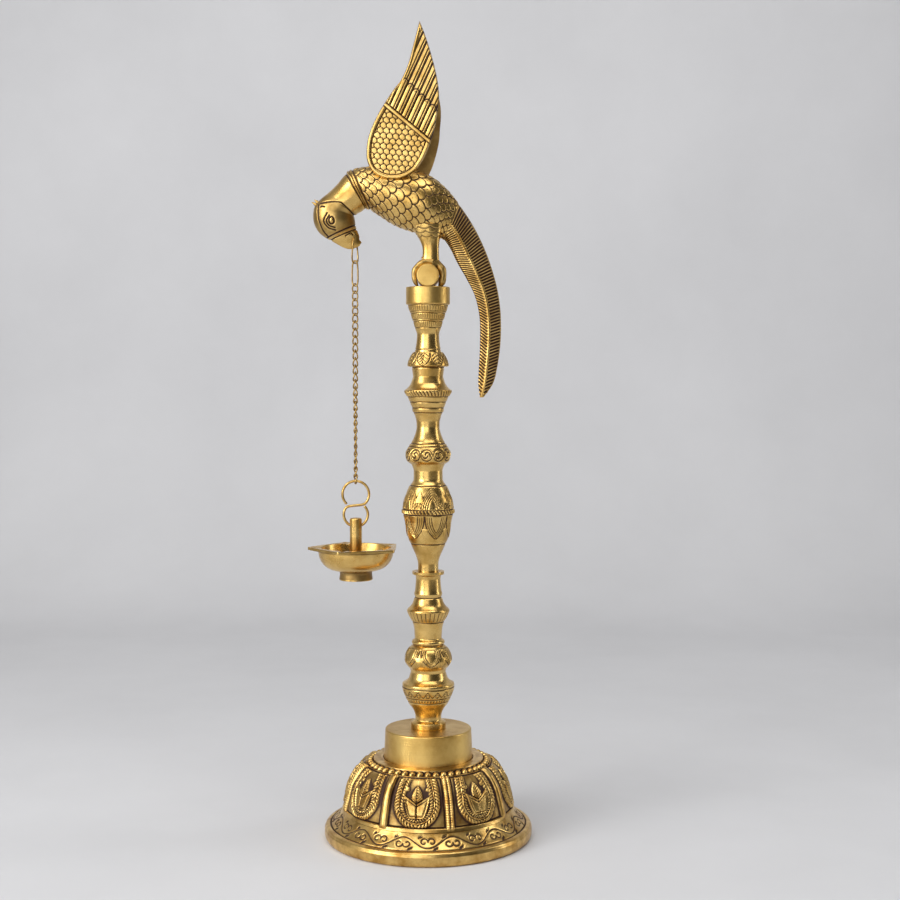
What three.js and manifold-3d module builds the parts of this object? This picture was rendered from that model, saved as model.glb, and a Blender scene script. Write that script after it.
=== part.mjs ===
import * as THREE from 'three';
import { mergeVertices } from 'three/addons/utils/BufferGeometryUtils.js';
import Module from 'manifold-3d';

// A cast brass table lamp: a parrot on a turned stem holds a chain with a five-wick oil bowl in its beak.
// Sizes are in millimetres, +Z is up and the lamp stands on z = 0 with its bowl towards -X.

// Fits
const seatGap = 0.3;
const wireGap = 0.5;

// Hollow cast base
const footRadius = 78.7;
const footHeight = 10.6;
const footBevel = 1.25;
const grooveRadius = 74;
const domeRadius = 64.8;
const domeFloor = 21.2;
const baseHeight = 59.6;
const baseTopRadius = 42.5;
const bellWall = 4;
const bellTopPlate = 4.5;
const registerHeight = 1.5;
const ribCount = 8;
const ribRadius = 2.3;
const ribSink = 0.6;
const firstRibAngle = -74.7;
// Cast relief on the dome, laid out by the way across a panel and the length of curve from the dome's foot
const reliefHeight = 1.5;
const reliefSink = 0.7;
const garlandRadius = 12.9;
const garlandMiddle = 19;
const garlandTop = 38;
const garlandLean = 0.085;
const garlandWidth = 7;
const cupRoot = [2.6, 10.4];
const cupTip = [9.6, 26.4];
const cupPetalWidth = 7.6;
const budRoot = [0, 20];
const budTip = [0, 33];
const budWidth = 7.2;
const beadCount = 48;
const beadRadius = 2.7;
const beadLength = 43.9;
// Rows of the dome's curve from its foot to its shoulder: shares of the dome's radius and of its height.
// They start at this row of the base's outline.
const domeStart = 5;
const domeRows = [
  [1, 0], [0.981, 0.169], [0.948, 0.349], [0.914, 0.542], [0.858, 0.724], [0.781, 0.865], [0.701, 0.9375],
];

// Turned drum between base and stem
const drumHeight = 23;
const drumFootRadius = 33.7;
const drumTopRadius = 32.5;
const drumWall = 5;
const drumTopPlate = 6;

// Tie rod that clamps the base, the drum, the stem and the perch together
const rodRadius = 3;
const boreRadius = 3.4;
const spigotRadius = 5.4;
const spigotHeight = 2.4;
const washerRadius = 9;
const washerThickness = 1.6;
const nutFlats = 10;
const nutHeight = 5;
const rodTail = 3;

// Stem sections. A row holds the radius, the rise from the row before and the bulge of the curve between.
const stemFootRows = [
  [13.2, 0], [13.2, 4.7], [10, 1.5], [10.1, 4.2, -0.2], [14.3, 7.4, -0.6], [19.5, 11.5, 0.3],
  [19.9, 2.3], [19.6, 2.9], [14.6, 4, -0.6], [13.2, 4.6], [13.8, 2.4], [17.2, 4.4, 0.3],
  [17.7, 3.4, 0.3], [14, 8.1, 0.7], [12.6, 1.6],
];
const stemLowerRows = [
  [11.2, 0], [12.2, 1.4], [12.2, 2.4], [10.2, 1.5], [10.6, 6.8], [12.5, 6.9, -0.3], [16.3, 7.6, 0.3],
  [15.5, 1.5], [11.7, 4.6, -0.5], [10.1, 4.6], [10.7, 2.1], [10, 2.5], [9.3, 9.1, -0.1], [9.6, 2.4],
  [12.1, 0.7], [12.1, 2.3],
];
const stemBarrelRows = [
  [7.8, 0], [7.7, 6], [9.5, 6.4, -0.2], [11.7, 5], [14.8, 6.9], [16.4, 7.7, 0.2], [17.1, 6], [18.2, 4.5],
  [19.6, 1.4], [19.6, 3], [18.9, 2.3], [16.6, 9.1, 0.5], [14, 6.7, 0.2], [10.95, 4.6, -0.4],
  [10.95, 6.8], [12.8, 4.9, -0.2],
];
const stemUpperRows = [
  [13.2, 0], [15.8, 1.9], [17.1, 4.6, 0.3], [17.1, 2.3], [14.2, 5.3], [10.3, 6.8, -0.4], [8.6, 6.8, -0.3],
  [8.8, 4.5], [10, 4.5], [11.6, 2.3], [12.2, 3.4], [15, 7], [17.9, 4.4], [17.9, 1.4], [12.8, 5.6, -0.6],
  [11.3, 4.5], [12.2, 7.1], [15.5, 0.8], [15.6, 1.2], [14.1, 4.6, 0.2], [11.1, 4.8, 0.2],
];
const stemNeckRows = [
  [9.9, 0], [9.6, 2], [8.3, 11.2, -0.3], [9.7, 4.2, -0.2], [11.3, 6.1], [11.7, 0.1], [13.3, 5.9],
  [13.7, 0.1], [15.4, 6],
];

// Perch
const capRadius = 16.5;
const capHeight = 13;
const perchRadius = 8.4;
const perchLength = 34;
const perchFlat = 0.3;
const rodReach = 1.6;

// Parrot, measured from the perch bar's axis. A row holds the back edge's x and z, the belly edge's x and z
// and the half breadth, from the beak's tip over the head and back to the tip of the tail.
const parrotRows = [
  [-51.3, 22.4, -49.6, 25.3, 1.2], [-56.9, 20.3, -51.2, 27.5, 1.9], [-62.2, 21, -51.3, 29.8, 2.6],
  [-68.9, 24.4, -52.8, 34, 5.2], [-76.3, 28.8, -54.2, 37.5, 9.6], [-81.6, 33.3, -54.7, 39.8, 12],
  [-84.9, 40, -55, 41.8, 13.2], [-85.2, 47.5, -55.3, 43.7, 13.2], [-82.6, 54, -55.1, 45.4, 12.8],
  [-69.2, 66.7, -50.3, 47.8, 13], [-58.9, 77.7, -45.1, 50.3, 14.2], [-47, 81, -36, 45, 16.5],
  [-32, 81.7, -24.8, 38, 18.5], [-14, 80, -12, 33.3, 19], [1.5, 74.5, -0.5, 31, 17.5],
  [12.5, 66.2, 6, 29.4, 13.5], [21.5, 55.8, 11.4, 27.6, 9], [32.9, 39.2, 16.4, 21, 6], [42, 21.4, 22.2, 9.5, 4.6],
  [48.4, 4, 28.7, -1.7, 4], [52.5, -12, 35, -14.5, 3.6], [54.6, -29.5, 38.6, -30.5, 3.3],
  [54.4, -50, 39, -50, 3], [52, -68, 38.2, -68, 2.6], [48.9, -80, 37.8, -80, 2], [41.8, -90.6, 39, -90.6, 0.7],
];
const crestRoot = [-79.5, 52];
const crestLean = [-7.5, 5.2];
const crestLength = 9;
const crestRadius = 3;
const crestTip = 0.5;
const legSpread = 7;
const legHalfDepth = 5.9;
const legHalfBreadth = 3.7;
const legX = 1.5;
const legTop = 38;
const claspThickness = 4.2;
const claspWidth = 7;
const claspReach = 32;
const beakHole = { x: -54.6, z: 28.7, radius: 1.7 };

// Wings: the outline is measured from the perch bar's axis, like the parrot's
const wingTip = [-5.8, 185];
const wingLeading = [[-14, 154.3], [-19, 142.8], [-29.6, 128.2], [-39.6, 110.7], [-44.6, 94]];
const wingRoot = [[-42, 77.2], [-31.2, 70.4], [-19.4, 70.4], [-8, 77.4], [2.4, 97.6]];
const wingTrailing = [[6.5, 115], [8.4, 132.5], [4.5, 154.4], [-2.2, 176]];
const wingInner = 15.3;
const wingThickness = 3.2;
const wingLug = { x: -25, z: 75.5, radius: 3.5, reach: 6.5 };
const farWingShift = [6, -6];
const farWingTurn = 5;

// Wire links between the beak and the chain
const linkWire = 0.6;
const beakLinkCrown = 0.7;
const beakLink = { length: 19, topWidth: 10, bottomWidth: 8.6, topYaw: 82, bottomYaw: 56 };
const linkBow = 0.6;
const longLink = { length: 18.7, topWidth: 4.6, bottomWidth: 4.6, topYaw: -28, bottomYaw: -8 };

// Curb chain: every link is twisted by a quarter turn, so that the chain lies flat
const chainCount = 27;
const chainPitch = 5.5;
const chainWire = 0.55;
const chainWidth = 3.9;
const chainYaw = 8;
const chainTwist = 4;
const quarterTwist = 90;
const chainBow = 0.8;

// S hook
const hookWire = 1;
const hookUpperRadius = 10;
const hookLowerRadius = 9.1;
const hookDrop = 15.4;
const hookUpperArc = [228, -40];
const hookLowerArc = [150, 406];

// Oil bowl on its post
const postRadius = 4.6;
const postFlare = 5.4;
const postAboveHole = 5.6;
const postBelowHole = 32;
const postHoleRadius = 1.9;
const postDish = 0.7;
const tenonRadius = 2.3;
const tenonTail = 1.2;
const bowlRadius = 28.7;
const bowlTipRadius = 36;
const bowlDepth = 15.7;
const bowlWall = 2;
const bowlFloor = 2.5;
const bowlFootRadius = 12.7;
const bowlFootHeight = 6.7;
const bowlFootWall = 2.6;
const bowlLip = 2.8;
const wickCount = 5;
const wickWidth = 4.6;
const wickDepth = 1.4;
const postNutFlats = 7;
const postNutHeight = 3;

// Facets
const baseFacets = 32;
const stemFacets = 24;
const bowlFacets = 32;
const chainSteps = 10;
const chainSides = 5;
const linkSteps = 20;
const linkSides = 6;

const columnX = (bowlTipRadius - beakHole.x - footRadius) / 2;

const wasm = await Module();
wasm.setup();

const brass = { color: 0xb8913f, metalness: 1, roughness: 0.28 };
const antiqueBrass = { color: 0x9a7633, metalness: 1, roughness: 0.4 };
const satinBrass = { color: 0xb4934a, metalness: 1, roughness: 0.36 };
const steel = { color: 0x8b8d90, metalness: 1, roughness: 0.4 };

// A named mesh with a finish of its own
function piece(name, geometry, finish) {
  const mesh = new THREE.Mesh(geometry, new THREE.MeshStandardMaterial(finish));
  mesh.name = name;
  return mesh;
}

// Position-only geometry with shared vertices and faces that point out
function closed(geometry) {
  geometry.deleteAttribute('normal');
  geometry.deleteAttribute('uv');
  const merged = mergeVertices(geometry, 1e-4);
  const index = Array.from(merged.index.array);
  const kept = [];
  for (let i = 0; i < index.length; i += 3) {
    const [a, b, c] = index.slice(i, i + 3);
    if (a !== b && b !== c && c !== a) {
      kept.push(a, b, c);
    }
  }
  if (volumeOf(merged.attributes.position, kept) < 0) {
    kept.reverse();
  }
  merged.setIndex(kept);
  return merged;
}

function volumeOf(position, index) {
  const [a, b, c] = [new THREE.Vector3(), new THREE.Vector3(), new THREE.Vector3()];
  let volume = 0;
  for (let i = 0; i < index.length; i += 3) {
    a.fromBufferAttribute(position, index[i]);
    b.fromBufferAttribute(position, index[i + 1]);
    c.fromBufferAttribute(position, index[i + 2]);
    volume += a.dot(b.cross(c)) / 6;
  }
  return volume;
}

function toSolid(geometry) {
  const shape = closed(geometry);
  return new wasm.Manifold(new wasm.Mesh({
    numProp: 3,
    vertProperties: new Float32Array(shape.attributes.position.array),
    triVerts: new Uint32Array(shape.index.array),
  }));
}

function toGeometry(solid) {
  const mesh = solid.getMesh();
  const geometry = new THREE.BufferGeometry();
  geometry.setAttribute('position', new THREE.BufferAttribute(mesh.vertProperties, 3));
  geometry.setIndex(new THREE.BufferAttribute(mesh.triVerts, 1));
  return geometry;
}

// Joins a body with what is added to it and cuts what is removed from it
function shaped(body, added, removed) {
  let result = toSolid(body);
  for (const geometry of added) {
    result = result.add(toSolid(geometry));
  }
  for (const geometry of removed) {
    result = result.subtract(toSolid(geometry));
  }
  return toGeometry(result);
}

// Turned outline from rows of radius, rise and bulge
function outline(rows) {
  const curveSteps = 2;
  const points = [];
  for (const [radius, rise, bulge = 0] of rows) {
    const start = points.at(-1) ?? new THREE.Vector2(radius, 0);
    const end = new THREE.Vector2(radius, start.y + rise);
    const outward = new THREE.Vector2(end.y - start.y, start.x - end.x).normalize();
    for (let step = 1; bulge !== 0 && step < curveSteps; step += 1) {
      const t = step / curveSteps;
      points.push(start.clone().lerp(end, t).addScaledVector(outward, 4 * bulge * t * (1 - t)));
    }
    points.push(end);
  }
  return points;
}

function heightOf(rows) {
  return rows.reduce((sum, row) => sum + row[1], 0);
}

// Body of revolution about Z from a closed outline of [radius, z] points
function turned(points, facets) {
  const profile = points.map((p) => (p.isVector2 ? p : new THREE.Vector2(...p)));
  const geometry = new THREE.LatheGeometry([...profile, profile[0]], facets);
  geometry.rotateX(Math.PI / 2);
  return closed(geometry);
}

// Cylinder along an axis, centred on a point
function rod(radius, length, axis, centre, facets = 20) {
  const geometry = new THREE.CylinderGeometry(radius, radius, length, facets);
  const turn = new THREE.Quaternion().setFromUnitVectors(new THREE.Vector3(0, 1, 0), axis.clone().normalize());
  geometry.applyQuaternion(turn);
  geometry.translate(...centre);
  return geometry;
}

const alongX = new THREE.Vector3(1, 0, 0);
const alongY = new THREE.Vector3(0, 1, 0);
const alongZ = new THREE.Vector3(0, 0, 1);

function polygon(radius, sides) {
  const points = [];
  for (let side = 0; side < sides; side += 1) {
    const angle = (2 * Math.PI * side) / sides;
    points.push(new THREE.Vector2(radius * Math.cos(angle), radius * Math.sin(angle)));
  }
  return new THREE.Shape(points);
}

// Hexagonal nut standing on z = 0
function nut(flats, height, holeRadius) {
  const shape = polygon(flats / 2 / Math.cos(Math.PI / 6), 6);
  shape.holes.push(polygon(holeRadius, 18));
  return closed(new THREE.ExtrudeGeometry(shape, { depth: height, bevelEnabled: false }));
}

// Closed skin over a run of rings with a fan at each end
function lofted(rings) {
  const sides = rings[0].length;
  const points = rings.flat();
  const index = [];
  for (let ring = 0; ring + 1 < rings.length; ring += 1) {
    for (let side = 0; side < sides; side += 1) {
      const a = ring * sides + side;
      const b = ring * sides + ((side + 1) % sides);
      index.push(a, b, a + sides, b, b + sides, a + sides);
    }
  }
  for (const [ring, flip] of [[0, true], [rings.length - 1, false]]) {
    const centre = rings[ring].reduce((sum, p) => sum.add(p), new THREE.Vector3()).divideScalar(sides);
    points.push(centre);
    for (let side = 0; side < sides; side += 1) {
      const a = ring * sides + side;
      const b = ring * sides + ((side + 1) % sides);
      index.push(points.length - 1, flip ? b : a, flip ? a : b);
    }
  }
  const geometry = new THREE.BufferGeometry().setFromPoints(points);
  geometry.setIndex(index);
  return closed(geometry);
}

function ellipseRing(centre, across, along, sides) {
  const ring = [];
  for (let side = 0; side < sides; side += 1) {
    const angle = (2 * Math.PI * side) / sides;
    ring.push(centre.clone().addScaledVector(across, Math.cos(angle)).addScaledVector(along, Math.sin(angle)));
  }
  return ring;
}

// Base: a bell with a rolled foot, a sloping flange, a ribbed dome and a register for the drum
function baseOutline() {
  const rise = baseHeight - domeFloor;
  return [
    [footRadius - footBevel, 0], [footRadius, 2 * footBevel], [footRadius, footHeight - 2.5 * footBevel],
    [footRadius - 1.6 * footBevel, footHeight], [grooveRadius, footHeight + footBevel / 3],
    ...domeRows.map(([reach, climb]) => [reach * domeRadius, domeFloor + climb * rise]),
    [baseTopRadius, baseHeight],
  ];
}

function baseBell() {
  const register = drumFootRadius - drumWall - seatGap;
  const outer = baseOutline();
  const inner = outer.slice(4, -2).reverse().map(([radius, z]) => [radius - bellWall, z - 1.5]);
  const plate = baseHeight - bellTopPlate;
  const bell = turned([
    ...outer,
    [register, baseHeight], [register, baseHeight + registerHeight],
    [boreRadius, baseHeight + registerHeight], [boreRadius, plate],
    [baseTopRadius - bellWall, plate],
    ...inner,
    [footRadius - 2 * bellWall, footHeight / 2], [footRadius - 2 * bellWall, 0],
  ], baseFacets);
  const added = [...ribs(), ...beads()];
  for (let panel = 0; panel < ribCount; panel += 1) {
    const middle = THREE.MathUtils.degToRad(firstRibAngle + (360 * (panel + 0.5)) / ribCount);
    added.push(garland(middle), ...lotusBud(middle));
  }
  return piece('base_bell', shaped(bell, added, []), antiqueBrass);
}

// Place, radius and outward direction on the dome at an angle and a length of curve from the dome's foot
function onDome(angle, length) {
  const rows = baseOutline().slice(domeStart).map((row) => new THREE.Vector2(...row));
  let row = 0;
  let left = length;
  while (row + 2 < rows.length && left > rows[row].distanceTo(rows[row + 1])) {
    left -= rows[row].distanceTo(rows[row + 1]);
    row += 1;
  }
  const run = rows[row + 1].clone().sub(rows[row]).normalize();
  const place = rows[row].clone().addScaledVector(run, left);
  const round = new THREE.Vector3(Math.cos(angle), Math.sin(angle), 0);
  return {
    radius: place.x,
    point: round.clone().multiplyScalar(place.x).setZ(place.y),
    outward: round.clone().multiplyScalar(run.y).setZ(-run.x),
  };
}

// Raised band over the dome through stations of [across, length, width]
function reliefBand(middle, stations) {
  const places = stations.map(([across, length]) => {
    const { radius } = onDome(middle, length);
    return onDome(middle + across / radius, length);
  });
  const rings = places.map(({ point, outward }, station) => {
    const before = places[Math.max(station - 1, 0)].point;
    const after = places[Math.min(station + 1, places.length - 1)].point;
    const side = after.clone().sub(before).cross(outward).setLength(stations[station][2] / 2);
    return [[-1, -reliefSink], [1, -reliefSink], [0.5, reliefHeight], [-0.5, reliefHeight]].map(
      ([across, up]) => point.clone().addScaledVector(side, across).addScaledVector(outward, up),
    );
  });
  return lofted(rings);
}

// U-shaped garland: a half circle with two arms that lean in towards their tops
function garland(middle) {
  const half = [];
  for (let turn = 0; turn <= 90; turn += 30) {
    const angle = THREE.MathUtils.degToRad(turn);
    half.push([garlandRadius * Math.sin(angle), garlandMiddle - garlandRadius * Math.cos(angle), garlandWidth]);
  }
  for (const share of [0.5, 1]) {
    const rise = share * (garlandTop - garlandMiddle);
    half.push([garlandRadius - garlandLean * rise, garlandMiddle + rise, garlandWidth * (1.15 - 0.4 * share)]);
  }
  const mirrored = half.slice(1).reverse().map(([across, length, width]) => [-across, length, width]);
  return reliefBand(middle, [...mirrored, ...half]);
}

// Lotus bud: two petals that form a cup and one that stands between them
function lotusBud(middle) {
  const petal = (root, tip, width) => reliefBand(middle, [[0, 0.5], [0.4, 1], [1, 0.1]].map(
    ([share, full]) => [
      THREE.MathUtils.lerp(root[0], tip[0], share), THREE.MathUtils.lerp(root[1], tip[1], share), full * width,
    ],
  ));
  const mirrored = ([across, length]) => [-across, length];
  return [
    petal(cupRoot, cupTip, cupPetalWidth), petal(mirrored(cupRoot), mirrored(cupTip), cupPetalWidth),
    petal(budRoot, budTip, budWidth),
  ];
}

// Ring of beads under the dome's shoulder
function beads() {
  const solids = [];
  for (let bead = 0; bead < beadCount; bead += 1) {
    const turn = THREE.MathUtils.degToRad(firstRibAngle + (360 * (bead + 0.5)) / beadCount);
    const { point, outward } = onDome(turn, beadLength);
    const lean = new THREE.Quaternion().setFromUnitVectors(alongX, outward);
    solids.push(new THREE.OctahedronGeometry(beadRadius).applyQuaternion(lean).translate(...point));
  }
  return solids;
}

// Rounded ribs that divide the dome into panels
function ribs() {
  const run = baseOutline().slice(domeStart, -1).map(([radius, z]) => new THREE.Vector3(radius - ribSink, 0, z));
  const solids = [];
  for (let rib = 0; rib < ribCount; rib += 1) {
    const turn = THREE.MathUtils.degToRad(firstRibAngle + (360 * rib) / ribCount);
    const path = new THREE.CatmullRomCurve3(run.map((p) => p.clone().applyAxisAngle(alongZ, turn)));
    solids.push(new THREE.ExtrudeGeometry(polygon(ribRadius, 5), { steps: 5, extrudePath: path }));
  }
  return solids;
}

function baseDrum() {
  const hollow = drumFootRadius - drumWall;
  const roof = drumHeight - drumTopPlate;
  const geometry = turned([
    [drumFootRadius, 0], [drumTopRadius, drumHeight - 0.5], [drumTopRadius - 0.5, drumHeight],
    [spigotRadius, drumHeight], [spigotRadius, drumHeight + spigotHeight],
    [boreRadius, drumHeight + spigotHeight], [boreRadius, roof], [hollow, roof], [hollow, 0],
  ], baseFacets);
  const mesh = piece('base_drum', geometry, satinBrass);
  mesh.position.z = baseHeight;
  return mesh;
}

// Turned stem section with a socket below and, where another section follows, a spigot on top
function stemSection(name, rows, floor, finish) {
  const outer = outline(rows);
  const top = outer.at(-1).y;
  const socketRadius = spigotRadius + seatGap;
  const socketDepth = spigotHeight + seatGap;
  const geometry = turned([
    ...outer,
    [spigotRadius, top], [spigotRadius, top + spigotHeight], [boreRadius, top + spigotHeight],
    [boreRadius, socketDepth], [socketRadius, socketDepth], [socketRadius, 0],
  ], stemFacets);
  const mesh = piece(name, geometry, finish);
  mesh.position.z = floor;
  return mesh;
}

function perchCap(floor) {
  const socketRadius = spigotRadius + seatGap;
  const socketDepth = spigotHeight + seatGap;
  const geometry = turned([
    [capRadius - 0.4, 0], [capRadius, 0.4], [capRadius, capHeight - 0.5], [capRadius - 0.5, capHeight],
    [boreRadius, capHeight], [boreRadius, socketDepth], [socketRadius, socketDepth], [socketRadius, 0],
  ], stemFacets);
  const mesh = piece('perch_cap', geometry, satinBrass);
  mesh.position.z = floor;
  return mesh;
}

function perchBar(axisZ) {
  const seat = perchRadius - perchFlat;
  const flat = new THREE.BoxGeometry(4 * perchRadius, 2 * perchLength, perchRadius);
  flat.translate(0, 0, -seat - perchRadius / 2);
  const hole = rod(boreRadius, 2 * seat, alongZ, [0, 0, rodReach + seatGap - seat]);
  const bar = rod(perchRadius, perchLength, alongY, [0, 0, 0], 28);
  const mesh = piece('perch_bar', shaped(bar, [], [flat, hole]), brass);
  mesh.position.z = axisZ;
  return mesh;
}

// Tie rod with its washer and nut under the base's top plate
function tieParts(perchZ) {
  const washerTop = baseHeight - bellTopPlate;
  const nutTop = washerTop - washerThickness;
  const bottom = nutTop - nutHeight - rodTail;
  const top = perchZ + rodReach;
  const tie = piece('tie_rod', closed(rod(rodRadius, top - bottom, alongZ, [0, 0, 0], 16)), steel);
  tie.position.z = (top + bottom) / 2;
  const washer = piece('tie_washer', turned([
    [boreRadius, 0], [washerRadius, 0], [washerRadius, washerThickness], [boreRadius, washerThickness],
  ], 24), steel);
  washer.position.z = nutTop;
  const hexNut = piece('tie_nut', nut(nutFlats, nutHeight, rodRadius + wireGap), steel);
  hexNut.position.z = nutTop - nutHeight;
  return [tie, washer, hexNut];
}

// The parrot's skin, grown by a gap where it serves as a cutter
function parrotSkin(grow, sides) {
  const rings = parrotRows.map(([backX, backZ, bellyX, bellyZ, breadth]) => {
    const back = new THREE.Vector3(backX, 0, backZ);
    const belly = new THREE.Vector3(bellyX, 0, bellyZ);
    const centre = back.clone().add(belly).divideScalar(2);
    const across = back.sub(centre);
    across.setLength(across.length() + grow);
    return ellipseRing(centre, across, new THREE.Vector3(0, breadth + grow, 0), sides);
  });
  return lofted(rings);
}

function leg(side) {
  const foot = perchRadius;
  const rings = [
    [legTop, 1.5, 1.3], [legTop - legHalfDepth, 1.15, 1.1], [(legTop + foot) / 2, 0.95, 0.95],
    [foot + claspThickness, 1.1, 1.1], [foot - claspThickness / 2, 1.3, 1.1],
  ].map(([z, deep, broad]) => ellipseRing(
    new THREE.Vector3(legX, side * legSpread, z),
    new THREE.Vector3(legHalfDepth * deep, 0, 0),
    new THREE.Vector3(0, legHalfBreadth * broad, 0),
    10,
  ));
  return lofted(rings);
}

// Claws that clasp the perch bar from above, open at the bottom
function clasp(side) {
  const inner = perchRadius + seatGap;
  const end = THREE.MathUtils.degToRad(claspReach);
  const shape = new THREE.Shape();
  shape.absarc(0, 0, inner + claspThickness, -end, Math.PI + end, false);
  shape.absarc(0, 0, inner - 0.1, Math.PI + end, -end, true);
  const geometry = new THREE.ExtrudeGeometry(shape, { depth: claspWidth, bevelEnabled: false, curveSegments: 14 });
  geometry.rotateX(Math.PI / 2);
  geometry.translate(0, side * legSpread + claspWidth / 2, 0);
  return geometry;
}

function crest() {
  const direction = new THREE.Vector3(crestLean[0], 0, crestLean[1]).normalize();
  const centre = new THREE.Vector3(crestRoot[0], 0, crestRoot[1]).addScaledVector(direction, crestLength / 2);
  const geometry = new THREE.CylinderGeometry(crestTip, crestRadius, crestLength, 8);
  geometry.applyQuaternion(new THREE.Quaternion().setFromUnitVectors(alongY, direction));
  geometry.translate(centre.x, centre.y, centre.z);
  return geometry;
}

function lugSocket(side) {
  const depth = wingLug.reach + seatGap;
  const centre = side * (wingInner - depth / 2);
  const shift = side > 0 ? farWingShift : [0, 0];
  return rod(wingLug.radius + seatGap, depth, alongY, [wingLug.x + shift[0], centre, wingLug.z + shift[1]]);
}

function parrotBody(perchZ) {
  const added = [leg(-1), leg(1), clasp(-1), clasp(1), crest()];
  const removed = [
    rod(perchRadius + seatGap, 4 * perchLength, alongY, [0, 0, 0], 28),
    rod(beakHole.radius, 4 * perchLength, alongY, [beakHole.x, 0, beakHole.z], 12),
    lugSocket(-1),
    lugSocket(1),
  ];
  const mesh = piece('parrot_body', shaped(parrotSkin(0, 16), added, removed), brass);
  mesh.position.z = perchZ;
  return mesh;
}

function wingShape() {
  const vectors = (list) => list.map(([x, z]) => new THREE.Vector2(x, z));
  const shape = new THREE.Shape();
  shape.moveTo(...wingTip);
  shape.splineThru(vectors(wingLeading));
  shape.splineThru(vectors(wingRoot));
  shape.splineThru(vectors(wingTrailing));
  shape.lineTo(...wingTip);
  return shape;
}

// Cast wing plate with a lug on its inner face, scarfed to the parrot's side
function wing(name, side, perchZ) {
  const plate = new THREE.ExtrudeGeometry(wingShape(), { depth: wingThickness, bevelEnabled: false, curveSegments: 2 });
  plate.rotateX(Math.PI / 2);
  plate.translate(0, side > 0 ? wingInner + wingThickness : -wingInner, 0);
  const lugLength = wingLug.reach + wingThickness / 2;
  const lugCentre = side * (wingInner + wingThickness / 2 - lugLength / 2);
  const lug = rod(wingLug.radius, lugLength, alongY, [wingLug.x, lugCentre, wingLug.z], 16);
  const joined = toSolid(plate).add(toSolid(lug));
  const geometry = toGeometry(joined);
  if (side > 0) {
    geometry.translate(-wingLug.x, 0, -wingLug.z);
    geometry.rotateY(THREE.MathUtils.degToRad(-farWingTurn));
    geometry.translate(wingLug.x + farWingShift[0], 0, wingLug.z + farWingShift[1]);
  }
  const bulk = toSolid(parrotSkin(seatGap, 16)).subtract(toSolid(lugSocket(side)));
  const mesh = piece(name, toGeometry(toSolid(geometry).subtract(bulk)), brass);
  mesh.position.z = perchZ;
  return mesh;
}

// Bent wire ring that hangs from its top wire's centre at the origin, with its plane twisted from top to bottom
function wireLink({ length, topWidth, bottomWidth, topYaw, bottomYaw }, wire, bow, steps, sides) {
  const pointCount = 16;
  const points = [];
  for (let i = 0; i < pointCount; i += 1) {
    const angle = (2 * Math.PI * i) / pointCount;
    const rise = Math.sign(Math.sin(angle)) * Math.abs(Math.sin(angle)) ** bow;
    const share = (1 + rise) / 2;
    const half = (bottomWidth + (topWidth - bottomWidth) * share) / 2;
    const out = half * Math.sign(Math.cos(angle)) * Math.abs(Math.cos(angle)) ** bow;
    const yaw = THREE.MathUtils.degToRad(bottomYaw + (topYaw - bottomYaw) * share);
    points.push(new THREE.Vector3(out * Math.cos(yaw), out * Math.sin(yaw), (share - 1) * length));
  }
  const path = new THREE.CatmullRomCurve3(points, true);
  return closed(new THREE.TubeGeometry(path, steps, wire, sides, true));
}

// Everything that hangs from the beak. Each piece's origin is the point that it turns about.
function hangingParts(perchZ) {
  const parts = [];
  const hang = (mesh, z) => {
    mesh.position.set(beakHole.x, 0, z);
    parts.push(mesh);
  };
  const holeZ = perchZ + beakHole.z;
  const beakTop = holeZ - (beakHole.radius - linkWire) + wireGap + beakLinkCrown;
  const beakGeometry = wireLink(beakLink, linkWire, linkBow, linkSteps, linkSides);
  beakGeometry.translate(0, 0, beakTop - holeZ);
  hang(piece('beak_link', beakGeometry, brass), holeZ);
  const longTop = beakTop - beakLink.length + 2 * linkWire + wireGap;
  hang(piece('long_link', wireLink(longLink, linkWire, linkBow, linkSteps, linkSides), brass), longTop);
  let top = longTop - longLink.length + linkWire + chainWire + wireGap;
  const chainLength = chainPitch + 2 * chainWire + wireGap;
  for (let link = 0; link < chainCount; link += 1) {
    const yaw = chainYaw + chainTwist * link;
    const form = {
      length: chainLength,
      topWidth: chainWidth,
      bottomWidth: chainWidth,
      topYaw: yaw + quarterTwist / 2,
      bottomYaw: yaw - quarterTwist / 2,
    };
    const name = `chain_link_${String(link + 1).padStart(2, '0')}`;
    hang(piece(name, wireLink(form, chainWire, chainBow, chainSteps, chainSides), brass), top);
    top -= chainPitch;
  }
  const chainBottom = top + chainPitch - chainLength;
  const hookTop = chainBottom + chainWire + hookWire + wireGap;
  const hookCentre = hookTop - hookUpperRadius;
  hang(sHook(), hookCentre);
  const lowerBottom = hookCentre - hookDrop - hookLowerRadius;
  const rise = hookLowerRadius - Math.sqrt(hookLowerRadius ** 2 - postRadius ** 2);
  const postHole = lowerBottom + rise + hookWire + wireGap - postHoleRadius;
  hang(bowlPost(), postHole);
  hang(oilBowl(), postHole);
  hang(postNut(), postHole);
  return parts;
}

// One wire bent into two open rings joined by a slanting neck, with the origin at the centre of the upper one
function sHook() {
  const points = [];
  const arc = (centreZ, radius, [from, to]) => {
    const count = 12;
    for (let i = 0; i <= count; i += 1) {
      const angle = THREE.MathUtils.degToRad(from + ((to - from) * i) / count);
      points.push(new THREE.Vector3(radius * Math.cos(angle), 0, centreZ + radius * Math.sin(angle)));
    }
  };
  arc(0, hookUpperRadius, hookUpperArc);
  arc(-hookDrop, hookLowerRadius, hookLowerArc);
  const path = new THREE.CatmullRomCurve3(points);
  return piece('s_hook', closed(new THREE.ExtrudeGeometry(polygon(hookWire, 6), { steps: 36, extrudePath: path })), brass);
}

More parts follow.
